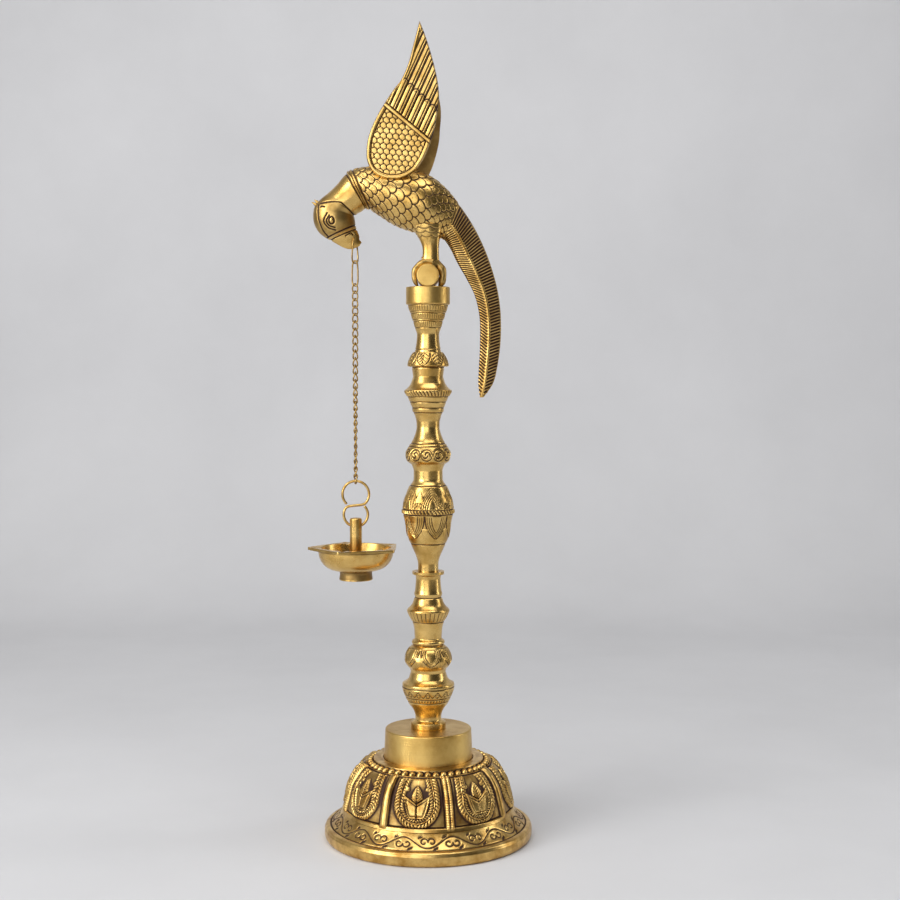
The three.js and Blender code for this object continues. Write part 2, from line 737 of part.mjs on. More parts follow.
// Post that rises from the bowl to the hook, with the origin at its cross hole
function bowlPost() {
  const floor = -postBelowHole;
  const foot = floor - bowlFloor - postNutHeight - tenonTail;
  const body = turned([
    [0, foot], [tenonRadius, foot], [tenonRadius, floor], [postFlare, floor], [postRadius - 0.5, floor + 7],
    [postRadius, postAboveHole - 0.8], [postRadius - 0.8, postAboveHole], [0, postAboveHole - postDish],
  ], stemFacets);
  const hole = rod(postHoleRadius, 4 * postRadius, alongX, [0, 0, 0], 16);
  return piece('bowl_post', shaped(body, [], [hole]), brass);
}

// Rim lip drawn out into a wick spout at each of its points
function lipShape() {
  const reach = bowlTipRadius - bowlRadius;
  const points = [];
  const count = 12 * wickCount;
  for (let i = 0; i < count; i += 1) {
    const angle = (2 * Math.PI * i) / count;
    const peak = Math.max(0, Math.cos(wickCount * (angle - Math.PI)));
    const radius = bowlRadius + 0.4 + (reach - 0.4) * peak ** 1.6;
    points.push(new THREE.Vector2(radius * Math.cos(angle), radius * Math.sin(angle)));
  }
  const shape = new THREE.Shape(points);
  shape.holes.push(polygon(bowlRadius - bowlWall / 2, bowlFacets));
  return shape;
}

function oilBowl() {
  const floor = -postBelowHole;
  const rim = floor + bowlDepth;
  const under = floor - bowlFloor;
  const foot = under - bowlFootHeight;
  const wall = (grow) => [
    [19.4 - grow, under + 1.6 + grow], [24.8 - grow, under + 5.6 + grow], [27.7 - grow, under + 10.4 + grow / 2],
  ];
  const body = turned([
    [tenonRadius + seatGap, under], [bowlFootRadius - bowlFootWall, under], [bowlFootRadius - bowlFootWall, foot],
    [bowlFootRadius, foot], [bowlFootRadius - 0.7, under], ...wall(0),
    [bowlRadius, rim - bowlLip], [bowlRadius, rim], [bowlRadius - bowlWall, rim],
    ...wall(bowlWall).reverse(), [14, floor], [tenonRadius + seatGap, floor],
  ], bowlFacets);
  const lip = new THREE.ExtrudeGeometry(lipShape(), { depth: bowlLip, bevelEnabled: false });
  lip.translate(0, 0, rim - bowlLip);
  const grooves = [];
  for (let wick = 0; wick < wickCount; wick += 1) {
    const groove = new THREE.BoxGeometry(bowlTipRadius, wickWidth, 2 * wickDepth);
    groove.translate(bowlRadius - 2 * bowlWall + bowlTipRadius / 2, 0, rim);
    groove.rotateZ(Math.PI + (2 * Math.PI * wick) / wickCount);
    grooves.push(groove);
  }
  return piece('oil_bowl', shaped(body, [lip], grooves), brass);
}

function postNut() {
  const geometry = nut(postNutFlats, postNutHeight, tenonRadius + wireGap);
  geometry.translate(0, 0, -postBelowHole - bowlFloor - postNutHeight);
  return piece('post_nut', geometry, brass);
}

function parrotLamp() {
  const lamp = new THREE.Group();
  lamp.position.x = columnX;
  lamp.add(baseBell(), baseDrum());
  let floor = baseHeight + drumHeight;
  for (const [name, rows, finish] of [
    ['stem_foot', stemFootRows, brass],
    ['stem_lower', stemLowerRows, brass],
    ['stem_barrel', stemBarrelRows, brass],
    ['stem_upper', stemUpperRows, brass],
    ['stem_neck', stemNeckRows, brass],
  ]) {
    lamp.add(stemSection(name, rows, floor, finish));
    floor += heightOf(rows);
  }
  lamp.add(perchCap(floor));
  const perchZ = floor + capHeight + perchRadius - perchFlat;
  lamp.add(perchBar(perchZ), ...tieParts(perchZ), parrotBody(perchZ));
  lamp.add(wing('wing_near', -1, perchZ), wing('wing_far', 1, perchZ));
  lamp.add(...hangingParts(perchZ));
  return lamp;
}

export default parrotLamp();
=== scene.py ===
import math

import bpy
import numpy as np
from bpy.props import FloatProperty, FloatVectorProperty, PointerProperty
from mathutils import Euler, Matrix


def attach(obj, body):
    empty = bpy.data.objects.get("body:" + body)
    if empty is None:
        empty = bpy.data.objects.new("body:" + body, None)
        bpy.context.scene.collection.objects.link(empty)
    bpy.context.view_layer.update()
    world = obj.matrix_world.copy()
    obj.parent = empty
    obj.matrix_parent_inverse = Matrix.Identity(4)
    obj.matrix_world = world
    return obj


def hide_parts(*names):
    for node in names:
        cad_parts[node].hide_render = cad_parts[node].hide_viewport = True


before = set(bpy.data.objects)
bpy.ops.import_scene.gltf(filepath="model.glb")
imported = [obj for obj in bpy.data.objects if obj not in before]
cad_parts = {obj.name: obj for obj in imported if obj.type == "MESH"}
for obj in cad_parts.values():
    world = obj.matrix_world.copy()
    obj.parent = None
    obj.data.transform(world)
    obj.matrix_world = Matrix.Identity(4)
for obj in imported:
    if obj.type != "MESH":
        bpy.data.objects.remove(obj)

bl_info = {
    "name": "Hanging parrot lamp",
    "version": (1, 0, 0),
    "blender": (4, 5, 0),
    "location": "3D View > Sidebar > Parrot Lamp",
    "description": "Builds a cast brass lamp: a parrot on a turned stem with an oil bowl on a chain",
    "category": "Add Mesh",
}

# Sizes in the shapes below are in millimetres. +Z is up and the lamp stands on z = 0.
MM = 0.001
COLUMN_X = 5.95
PERCH_Z = 423.8
BEAK_HOLE = (-54.6, 28.7)
HANG_X = COLUMN_X + BEAK_HOLE[0]
BORE = 3.4
SPIGOT = 5.4
SPIGOT_HEIGHT = 2.4
SEAT_GAP = 0.3


def linear(code):
    """Linear colour of an sRGB hex code."""
    parts = [int(code[i:i + 2], 16) / 255 for i in (1, 3, 5)]
    return tuple(p / 12.92 if p <= 0.04045 else ((p + 0.055) / 1.055) ** 2.4 for p in parts)


# Curves and surfaces


def ridge(distance, width):
    """A soft line: e to the power of minus (distance / width) squared."""
    return np.exp(-((distance / width) ** 2))


def smooth(value, low, high):
    """A soft step from 0 at low to 1 at high: 3t^2 - 2t^3."""
    share = np.clip((value - low) / (high - low), 0, 1)
    return share * share * (3 - 2 * share)


def between(value, low, high, rise=0.6, fall=0.6):
    """A soft band: a soft step up over rise from low, times a soft step down over fall to high."""
    return smooth(value, low, low + rise) * smooth(high - value, 0, fall)


def dome(distance, radius):
    """A round boss: the height of a unit half ball over distance / radius."""
    return np.sqrt(np.clip(1 - (distance / radius) ** 2, 0, 1))


def full_turn(count):
    """Angles at count equal steps round a full turn."""
    return 2 * np.pi * np.arange(count) / count


def cell(angle, count):
    """Place in the nearest of count equal parts of a turn, from -0.5 to 0.5."""
    return (angle * count / (2 * np.pi) + 0.5) % 1 - 0.5


def from_mark(angle, radius, count):
    """Distance round a surface to the nearest of count equal marks, with its sign."""
    return cell(angle, count) * 2 * np.pi * radius / count


def grid(x, y, z):
    """Points from three coordinates that are broadcast to one shape."""
    return np.stack(np.broadcast_arrays(x, y, z), axis=-1)


def blurred(field, reach):
    """Gaussian blur of a grid by reach rows and columns, done in the frequency domain."""
    rows = np.fft.fftfreq(field.shape[0])[:, None] * reach
    columns = np.fft.rfftfreq(field.shape[1])[None] * reach
    spread = np.exp(-2 * np.pi**2 * (rows**2 + columns**2))
    return np.fft.irfft2(np.fft.rfft2(field) * spread, s=field.shape)


def hollow(relief, reach, depth, wide=0.0):
    """Share of patina: how far each point lies below the blurred relief round it. A share of a
    blur three times as wide adds painted shade in broad hollows."""
    shade = (blurred(relief, reach) - relief) / depth
    if wide:
        shade = shade + wide * (blurred(relief, 3 * reach) - relief) / depth
    return np.clip(shade, -0.35, 1)


def through(rows, at):
    """Catmull-Rom curve through rows of numbers, at the given row numbers."""
    rows = np.asarray(rows, float)
    padded = np.vstack([2 * rows[0] - rows[1], rows, 2 * rows[-1] - rows[-2]])
    start = np.clip(np.floor(at).astype(int), 0, len(rows) - 2)
    t = (at - start)[:, None]
    a, b, c, d = (padded[start + i] for i in range(4))
    square = (2 * a - 5 * b + 4 * c - d) * t**2
    cube = (3 * b - a - 3 * c + d) * t**3
    return 0.5 * (2 * b + (c - a) * t + square + cube)


def running(steps):
    """Sums of the steps so far, from 0 on."""
    return np.concatenate([[0], np.cumsum(steps)])


def length_along(path):
    """Distance from a path's start to each of its points."""
    return running(np.linalg.norm(np.diff(path, axis=0), axis=1))


def even(path, count, closed=False):
    """Points at equal distances along a path."""
    if closed:
        path = np.vstack([path, path[:1]])
    length = length_along(path)
    at = np.linspace(0, length[-1], count, endpoint=not closed)
    return np.stack([np.interp(at, length, axis) for axis in path.T], axis=-1)


def curve(points):
    """Smooth stroke through a few points, with a point at every 0.3 mm."""
    fine = through(points, np.linspace(0, len(points) - 1, 40 * len(points)))
    return even(fine, max(2, int(length_along(fine)[-1] / 0.3)))


def distance_to(across, up, strokes):
    """Distance from every grid point to the nearest point of the strokes."""
    nearest = np.full(np.broadcast(across, up).shape, 1e6)
    for u, v in np.vstack(strokes):
        np.minimum(nearest, (across - u) ** 2 + (up - v) ** 2, out=nearest)
    return np.sqrt(nearest)


def scales(along, across, row, column, reach):
    """Overlapping scales. Discs of one radius stand on a staggered lattice, and each point belongs
    to the first disc that covers it; the height climbs across a disc from 0 to 1 at its free edge.
    Also gives the distance from the disc's middle."""
    height = np.zeros(along.shape)
    middle = np.full(along.shape, reach)
    free = np.ones(along.shape, bool)
    first = np.ceil((along - reach) / row)
    for step in range(4):
        line = first + step
        shift = 0.5 * (line % 2)
        place = (np.round(across / column - shift) + shift) * column
        ahead = along - line * row
        away = np.hypot(ahead, across - place)
        found = free & (away < reach)
        height = np.where(found, 0.5 + 0.5 * ahead / reach, height)
        middle = np.where(found, away, middle)
        free &= ~found
    return height, middle


def shell(points, patina_and_shade=0.0, ring=True, loop=False):
    """Quads between the neighbours of a grid of points. Columns close to a ring, rows close to a
    loop, and a ring that stays open at its ends gets a fan at each of them."""
    rows, columns = points.shape[:2]
    vertices = points.reshape(-1, 3)
    shade = np.broadcast_to(patina_and_shade, (rows, columns)).reshape(-1)
    index = np.arange(rows * columns).reshape(rows, columns)
    if ring:
        index = np.hstack([index, index[:, :1]])
    if loop:
        index = np.vstack([index, index[:1]])
    corners = [index[:-1, :-1], index[:-1, 1:], index[1:, 1:], index[1:, :-1]]
    quads = np.stack(corners, axis=-1).reshape(-1, 4)
    fans = np.zeros((0, 3), int)
    if ring and not loop:
        low = np.full(columns, rows * columns)
        fans = np.vstack([
            np.stack([low, index[0, 1:], index[0, :-1]], axis=-1),
            np.stack([low + 1, index[-1, :-1], index[-1, 1:]], axis=-1),
        ])
        vertices = np.vstack([vertices, points[[0, -1]].mean(axis=1)])
        shade = np.append(shade, [shade[0], shade[-1]])
    a, b, c, d = (vertices[quads[:, i]] for i in range(4))
    volume = np.sum(a * np.cross(b, c)) + np.sum(a * np.cross(c, d))
    if volume < 0:
        quads = quads[:, ::-1]
        fans = fans[:, ::-1]
    return vertices, quads, fans, shade


def placed(name, data):
    """A new object in the scene."""
    made = bpy.data.objects.new(name, data)
    bpy.context.scene.collection.objects.link(made)
    return made


def mesh_object(name, points, faces):
    """A new mesh object from points in millimetres."""
    mesh = bpy.data.meshes.new(name)
    mesh.from_pydata((points * MM).tolist(), [], faces)
    return placed(name, mesh)


def piece(name, shells, look, body, nodes, crease=45):
    """One object in a named finish from shells in millimetres, standing for CAD nodes and riding
    on their body. Edges sharper than crease degrees stay sharp."""
    faces = []
    count = 0
    for points, quads, fans, _ in shells:
        faces += (quads + count).tolist() + (fans + count).tolist()
        count += len(points)
    made = mesh_object(name, np.vstack([part[0] for part in shells]), faces)
    shade = np.concatenate([part[3] for part in shells])
    made.data.attributes.new("patina_and_shade", "FLOAT", "POINT").data.foreach_set("value", shade)
    made.data.shade_smooth()
    made.data.set_sharp_from_angle(angle=math.radians(crease))
    made.data.materials.append(finish(look))
    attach(made, body)
    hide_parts(*nodes)
    return made


def outline_of(rows, spacing, soften):
    """Rows of radius, rise and bulge as a dense outline. A stretch bows outwards by 4t(1 - t) times
    its bulge; the whole is then spaced evenly and its corners are rounded by a short blur."""
    points = [np.array([[rows[0][0], 0.0]])]
    for radius, rise, *bulge in rows[1:]:
        start = points[-1][-1]
        end = np.array([radius, start[1] + rise])
        t = np.linspace(0, 1, 17)[1:, None]
        line = start + (end - start) * t
        if bulge:
            out = np.array([end[1] - start[1], start[0] - end[0]]) / np.linalg.norm(end - start)
            line = line + out * 4 * bulge[0] * t * (1 - t)
        points.append(line)
    path = np.vstack(points)
    path = even(path, int(length_along(path)[-1] / spacing))
    reach = 6
    weight = np.exp(-0.5 * (np.arange(-reach, reach + 1) * spacing / soften) ** 2)
    weight /= weight.sum()
    padded = np.pad(path, ((reach, reach), (0, 0)), mode="reflect", reflect_type="odd")
    return np.stack([np.convolve(axis, weight, mode="valid") for axis in padded.T], axis=-1)


def turned(path, hidden, facets, relief=0.0, shade=0.0, floor=0.0, axis_x=COLUMN_X):
    """Surface of revolution: an outline of radius and height swept through a full turn, with the
    relief pushed out along the outline's normal. The hidden points close the outline inside."""
    angle = full_turn(facets)
    slope = np.gradient(path, axis=0)
    normal = np.stack([slope[:, 1], -slope[:, 0]], axis=-1) / np.linalg.norm(slope, axis=1)[:, None]
    relief = np.broadcast_to(relief, (len(path), facets))
    radius = path[:, :1] + relief * normal[:, :1]
    height = path[:, 1:] + relief * normal[:, 1:]
    if hidden:
        inside = np.asarray(hidden, float)
        radius = np.vstack([radius, np.repeat(inside[:, :1], facets, axis=1)])
        height = np.vstack([height, np.repeat(inside[:, 1:], facets, axis=1)])
    points = grid(axis_x + radius * np.cos(angle), radius * np.sin(angle), floor + height)
    # Painted shade: the hidden inside of each outline is darkened by a fixed 0.6
    dark_inside = np.full((len(hidden), facets), 0.6)
    patina_and_shade = np.vstack([np.broadcast_to(shade, relief.shape), dark_inside])
    return shell(points, patina_and_shade, loop=len(hidden) > 0)


def front_of(facets):
    """Angle round the stem from the side that faces the camera, growing towards +X."""
    angle = full_turn(facets) + np.pi / 2
    return ((angle + np.pi) % (2 * np.pi) - np.pi)[None]


def tube(path, radius, side, sides, closed=False, patina_and_shade=0.0):
    """A round section carried along a path. Its frame is the tangent, a given side direction made
    square to it, and their cross product."""
    if closed:
        tangent = np.roll(path, -1, axis=0) - np.roll(path, 1, axis=0)
    else:
        tangent = np.gradient(path, axis=0)
    tangent = tangent / np.linalg.norm(tangent, axis=1)[:, None]
    side = np.broadcast_to(np.asarray(side, float), path.shape)
    side = side - np.sum(side * tangent, axis=1)[:, None] * tangent
    side = side / np.linalg.norm(side, axis=1)[:, None]
    up = np.cross(tangent, side)
    turn = full_turn(sides)[None, :, None]
    radius = np.broadcast_to(radius, len(path))[:, None, None]
    points = path[:, None] + radius * (np.cos(turn) * side[:, None] + np.sin(turn) * up[:, None])
    return shell(points, patina_and_shade, loop=closed)


# Materials


def node(tree, kind, settings=(), links=()):
    """Adds a shader node, sets its properties and inputs, and links sockets to its inputs. A node
    given as a link stands for its first output."""
    made = tree.nodes.new(kind)
    for key, value in dict(settings).items():
        if isinstance(key, int) or key in made.inputs:
            made.inputs[key].default_value = value
        else:
            setattr(made, key, value)
    for key, source in dict(links).items():
        socket = source if isinstance(source, bpy.types.NodeSocket) else source.outputs[0]
        tree.links.new(socket, made.inputs[key])
    return made


def fresh(name):
    """A new material with an empty tree, that tree, and the object's coordinates in it."""
    material = bpy.data.materials.new(name)
    material.use_nodes = True
    tree = material.node_tree
    tree.nodes.clear()
    return material, tree, node(tree, "ShaderNodeTexCoord").outputs["Object"]


def brass(name, bright, deep, patina_shade_brown, gloss, blotch, grain, tool_marks=0.0, recess=1.0):
    """Brass: two tones that change over patches of blotch mm, brown for patina and painted shade
    where the patina_and_shade attribute times recess says so, roughness that follows both, and a bump
    of grain mm. tool_marks adds turning rings."""
    material, tree, place = fresh(name)
    patches = node(tree, "ShaderNodeTexNoise",
                   {"Scale": 1 / (blotch * MM), "Detail": 4.0, "Roughness": 0.6},
                   {"Vector": place})
    specks = node(tree, "ShaderNodeTexNoise",
                  {"Scale": 1 / (grain * MM), "Detail": 3.0, "Roughness": 0.6},
                  {"Vector": place})
    # The attribute holds brown patina in the carving and painted shade that some pieces lay on
    patina_and_shade_share = node(tree, "ShaderNodeAttribute", {"attribute_name": "patina_and_shade"}).outputs["Fac"]
    cloud = node(tree, "ShaderNodeMapRange", {"From Min": 0.38, "From Max": 0.68},
                 {"Value": patches})
    base = node(tree, "ShaderNodeMix", {"data_type": "RGBA", 6: (*bright, 1), 7: (*deep, 1)},
                {"Factor": cloud}).outputs[2]
    dirt = node(tree, "ShaderNodeMath", {"operation": "MULTIPLY_ADD", 1: 0.5, 2: -0.25},
                {0: patches})
    dark = node(tree, "ShaderNodeMath", {"operation": "MULTIPLY_ADD", "use_clamp": True, 1: recess},
                {0: patina_and_shade_share, 2: dirt})
    colour = node(tree, "ShaderNodeMix", {"data_type": "RGBA", 7: (*patina_shade_brown, 1)},
                  {"Factor": dark, 6: base}).outputs[2]
    rough = node(tree, "ShaderNodeMath", {"operation": "MULTIPLY_ADD", 1: 0.3, 2: gloss - 0.06},
                 {0: dark})
    rough = node(tree, "ShaderNodeMath", {"operation": "MULTIPLY_ADD", "use_clamp": True, 1: 0.12},
                 {0: patches, 2: rough})
    metal = node(tree, "ShaderNodeMapRange", {"From Min": 0.45, "To Min": 1.0, "To Max": 0.45},
                 {"Value": dark})
    height = specks
    if tool_marks:
        spot = node(tree, "ShaderNodeSeparateXYZ", {}, {"Vector": place})
        from_axis = node(tree, "ShaderNodeMath", {"operation": "SUBTRACT", 1: COLUMN_X * MM},
                         {0: spot})
        flat = node(tree, "ShaderNodeCombineXYZ", {}, {"X": from_axis, "Y": spot.outputs["Y"]})
        radius = node(tree, "ShaderNodeVectorMath", {"operation": "LENGTH"}, {0: flat})
        run = node(tree, "ShaderNodeMath", {"operation": "ADD"},
                   {0: radius.outputs["Value"], 1: spot.outputs["Z"]})
        rings = node(tree, "ShaderNodeTexNoise",
                     {"noise_dimensions": "1D", "Scale": 1 / (tool_marks * MM), "Detail": 4.0,
                      "Roughness": 0.7}, {"W": run})
        height = node(tree, "ShaderNodeMath", {"operation": "MULTIPLY_ADD", 1: 4.0},
                      {0: rings, 2: specks})
    bump = node(tree, "ShaderNodeBump", {"Strength": 0.5, "Distance": 0.00006}, {"Height": height})
    surface = node(tree, "ShaderNodeBsdfPrincipled", {},
                   {"Base Color": colour, "Roughness": rough, "Metallic": metal, "Normal": bump})
    node(tree, "ShaderNodeOutputMaterial", {}, {"Surface": surface})
    return material


def plated_steel(name, tone, gloss):
    """Zinc plated steel: a pale blue grey metal whose roughness changes over patches of 3 mm."""
    material, tree, place = fresh(name)
    patches = node(tree, "ShaderNodeTexNoise", {"Scale": 1 / (3 * MM), "Detail": 3.0},
                   {"Vector": place})
    rough = node(tree, "ShaderNodeMath", {"operation": "MULTIPLY_ADD", 1: 0.2, 2: gloss},
                 {0: patches})
    duller = [0.8 * part for part in tone]
    colour = node(tree, "ShaderNodeMix", {"data_type": "RGBA", 6: (*tone, 1), 7: (*duller, 1)},
                  {"Factor": patches}).outputs[2]
    surface = node(tree, "ShaderNodeBsdfPrincipled", {"Metallic": 1.0},
                   {"Base Color": colour, "Roughness": rough})
    node(tree, "ShaderNodeOutputMaterial", {}, {"Surface": surface})
    return material


def plaster(name, tone):
    """Matt painted board for the stage, with faint clouds 300 mm wide."""
    material, tree, place = fresh(name)
    cloud = node(tree, "ShaderNodeTexNoise",
                 {"Scale": 1 / (300 * MM), "Detail": 5.0, "Roughness": 0.6},
                 {"Vector": place})
    low, high = ([share * part for part in tone] for share in (0.9, 1.1))
    colour = node(tree, "ShaderNodeMix", {"data_type": "RGBA", 6: (*low, 1), 7: (*high, 1)},
                  {"Factor": cloud}).outputs[2]
    surface = node(tree, "ShaderNodeBsdfPrincipled", {"Roughness": 0.9, "Specular IOR Level": 0.2},
                   {"Base Color": colour})
    node(tree, "ShaderNodeOutputMaterial", {}, {"Surface": surface})
    return material


def finish(name):
    """The named finish, made on its first use from the colours in the panel."""
    if name in bpy.data.materials:
        return bpy.data.materials[name]
    look = bpy.context.scene.lamp_finish
    if name == "polished_cast_brass":
        # Cast brass, buffed: bright yellow gold with clear reflections, brown patina in the carving,
        # and painted shade under the bowl, on the wings' inner faces and on the face
        return brass(name, look.bright, look.deep, look.patina_shade_brown,
                     gloss=0.27, blotch=14, grain=0.7, recess=1.15)
    if name == "antiqued_cast_brass":
        # Cast brass, stained and rubbed back: gold on the high spots, dark brown in the ground as
        # patina, with painted shade in the broad hollows and inside
        return brass(name, look.bright, look.stained, look.patina_shade_brown,
                     gloss=0.3, blotch=9, grain=0.9, recess=1.5)
    if name == "turned_satin_brass":
        # Brass turned on a lathe and left unpolished: fine rings and broad soft highlights
        return brass(name, look.satin, look.deep, look.patina_shade_brown,
                     gloss=0.34, blotch=25, grain=0.6, tool_marks=0.9)
    if name == "drawn_brass_wire":
        # Drawn brass wire, handled: smooth, a little darker than the castings
        return brass(name, look.bright, look.deep, look.patina_shade_brown,
                     gloss=0.27, blotch=4, grain=0.5)
    # Zinc plated steel: cold grey, only seen from below
    return plated_steel("zinc_plated_steel", look.steel, gloss=0.3)


# Cast bell base. Rows hold radius, rise and bulge; the inside's points hold radius and height.

BELL_FLOOR = 21.2
BELL_TOP = 59.5
BELL_ROWS = [
    (64.6, 0), (64.0, 1.8), (62.9, 5.1), (61.2, 6.6), (59.9, 4.6), (58.6, 4.0), (56.3, 4.2),
    (53.7, 4.0), (49.9, 3.8), (45.6, 2.2), (41.8, 1.7), (33.9, 0.6),
]
BELL_INSIDE = [
    (33.0, 59.5), (28.4, 59.6), (28.4, 61.1), (BORE, 61.1), (BORE, 55.1), (38.5, 55.1),
    (46.6, 52.9), (53.5, 45.5), (57.4, 33.1), (60.8, 19.7),
]
FLANGE_ROWS = [
    (76.2, 0), (77.9, 1.0), (78.7, 2.2), (78.7, 4.6), (78.0, 1.0), (78.2, 0.4), (77.4, 1.1),
    (75.9, 0.6), (74.3, 0.2), (74.0, -0.2), (73.4, 0.4), (64.9, 9.7, -0.4),
]
FLANGE_INSIDE = [(74.7, 0), (70.7, 5.3), (70.0, 9.5), (60.8, 19.7), (60.8, 21.0)]
DRUM_FLOOR = 59.6
DRUM_ROWS = [
    (33.5, 0), (33.7, 0.3), (32.6, 22.1), (32.1, 0.5), (31.6, 0.1), (13, 0.02), (SPIGOT, 0.02),
]
DRUM_INSIDE = [(SPIGOT, 85.0), (BORE, 85.0), (BORE, 76.6), (28.7, 76.6), (28.7, DRUM_FLOOR)]
PANELS = 8
PANEL_TURN = math.radians(-7.2)
PANEL_TOP = 41.0
GARLAND_RADIUS = 12.9
GARLAND_MIDDLE = 19.0
GARLAND_TOP = 38.6
BEADS = 48
BEAD_RISE = 43.9
VINE_WAVES = 12
VINE_RADIUS = 69.4
VINE_MIDDLE = 7.1
VINE_SWING = 4.1
VINE_COIL = 2.9
VINE_EDGE = 13.6


def garland(across, rise):
    """U garland: the signed distance to a half circle with two upright arms carries a row of leaves
    outside, a thin line and a roped row inside; both rows beat along the path of the U."""
    below = rise < GARLAND_MIDDLE
    side = np.abs(across)
    lower = np.hypot(across, rise - GARLAND_MIDDLE) - GARLAND_RADIUS
    climb = np.maximum(rise - GARLAND_MIDDLE, 0)
    upper = side - GARLAND_RADIUS + 0.085 * climb + 0.007 * climb**2
    off = np.where(below, lower, upper)
    turn = np.arctan2(side, np.maximum(GARLAND_MIDDLE - rise, 1e-6))
    arm = GARLAND_RADIUS * np.pi / 2 + rise - GARLAND_MIDDLE
    run = np.where(below, GARLAND_RADIUS * turn, arm)
    leaves = dome(off - 2.35, 1.75) * np.abs(np.sin(np.pi * (run / 2.3 + 0.28 * off))) ** 0.8
    rope = dome(off + 2.1, 1.3) * np.abs(np.sin(np.pi * (run / 2.1 - 0.3 * off)))
    rows = np.maximum(1.3 * leaves, np.maximum(1.25 * ridge(off, 0.5), rope))
    bed = 0.45 * smooth(4.3 - np.abs(off), 0, 0.9)
    curl = dome(np.hypot(side - 7.3, rise - 30.6), 1.7)
    return np.maximum(smooth(GARLAND_TOP - rise, -1.2, 0.4) * (bed + rows), 1.3 * curl)


def lotus_bud(across, rise):
    """Lotus bud: a cup of two petals whose edge widens with the 0.42 power of the rise, and a
    veined middle petal that stands up between them."""
    side = np.abs(across)
    wide = 3.6 + 6.4 * np.clip((rise - 9.2) / 16.8, 0, 1) ** 0.42
    inside = np.minimum(np.minimum(wide - side, 0.8 * (20.3 + 0.62 * side - rise)), rise - 9.4)
    stipple = 0.3 * np.sin(4.4 * across) * np.sin(4.4 * rise) * smooth(inside, 2.2, 2.8)
    cup = 2.0 * smooth(inside, -0.3, 0.8) - 0.8 * ridge(inside - 1.75, 0.42) + stipple
    cup = cup - 1.1 * ridge(across, 0.42) * smooth(inside, 0, 0.8)
    share = np.clip((rise - 17.5) / 16.0, 0, 1)
    petal_in = 12.4 * share**0.6 * (1 - share) - side
    veins = 0.35 * np.sin(2 * np.pi * (rise - 0.8 * side) / 2.0) * smooth(petal_in, 0.3, 0.9)
    midrib = 0.6 * ridge(across, 0.38) * smooth(petal_in, 0, 0.8)
    return np.where(inside > -0.3, cup, 1.5 * smooth(petal_in, -0.2, 0.8) + veins - midrib)


def dome_relief(front, rise, radius):
    """Framed panels between ribs, each with a lotus bud in a garland, under a ring of beads."""
    turn = front - PANEL_TURN
    across = from_mark(turn, radius, PANELS)
    from_rib = np.pi * radius / PANELS - np.abs(across)
    inside = np.minimum(np.minimum(from_rib - 2.7, rise - 2.4), PANEL_TOP - rise)
    relief = 1 - smooth(inside, 0, 0.8) - 0.7 * ridge(inside - 0.9, 0.42)
    panel = np.maximum(garland(across, rise), lotus_bud(across, rise))
    relief = relief + smooth(inside, 0.2, 1.2) * panel
    rib = np.round(turn * PANELS / (2 * np.pi) + 0.5)
    double = 1.2 * ridge(from_rib - 1.4, 0.8) * (0.9 + 0.35 * np.sin(2 * np.pi * rise / 1.7))
    ribs = np.where(rib % 2 == 1, double, 1.3 * dome(from_rib, 2.7))
    relief = relief + between(rise, 0.5, PANEL_TOP + 0.5, 2.5, 2) * ribs
    beside = from_mark(turn - 0.004 * (rise - BEAD_RISE), radius, BEADS)
    bead = np.hypot(beside / 2.45, (rise - BEAD_RISE) / 2.7)
    band = between(rise, PANEL_TOP, 47.2, 0.6, 0.8)
    return relief * (1 - band) + band * (2.9 * dome(bead, 1.0) - 1.2)


def vine_strokes():
    """One wave of the engraved vine: a sine with a pair of joined spirals in each bay, and short
    leaf strokes at the crossings."""
    wave = 2 * np.pi * VINE_RADIUS / VINE_WAVES
    u = np.linspace(-0.62 * wave, 0.62 * wave, 130)
    wavy = VINE_MIDDLE + VINE_SWING * np.sin(2 * np.pi * u / wave)
    strokes = [np.stack([u, wavy], axis=-1)]
    turn = np.linspace(0, 1.75 * np.pi, 60)
    coil = VINE_COIL * (1 - 0.62 * (turn / turn[-1]) ** 1.3)
    for place, way in ((-wave / 4, 1), (wave / 4, -1), (3 * wave / 4, 1), (-3 * wave / 4, -1)):
        for side in (-1, 1):
            strokes.append(np.stack([place + side * (VINE_COIL - coil * np.cos(turn)),
                                     VINE_MIDDLE + way * (0.7 + coil * np.sin(turn))], axis=-1))
    for place in (-wave / 2, 0, wave / 2):
        for step in range(3):
            for side in (-1, 1):
                start = np.array([place + side * (2.2 + 1.1 * step),
                                  VINE_MIDDLE - side * (3.2 + 0.5 * step)])
                strokes.append(np.linspace(start, start + [side * 0.6, -side * 1.6], 8))
    return wave, strokes


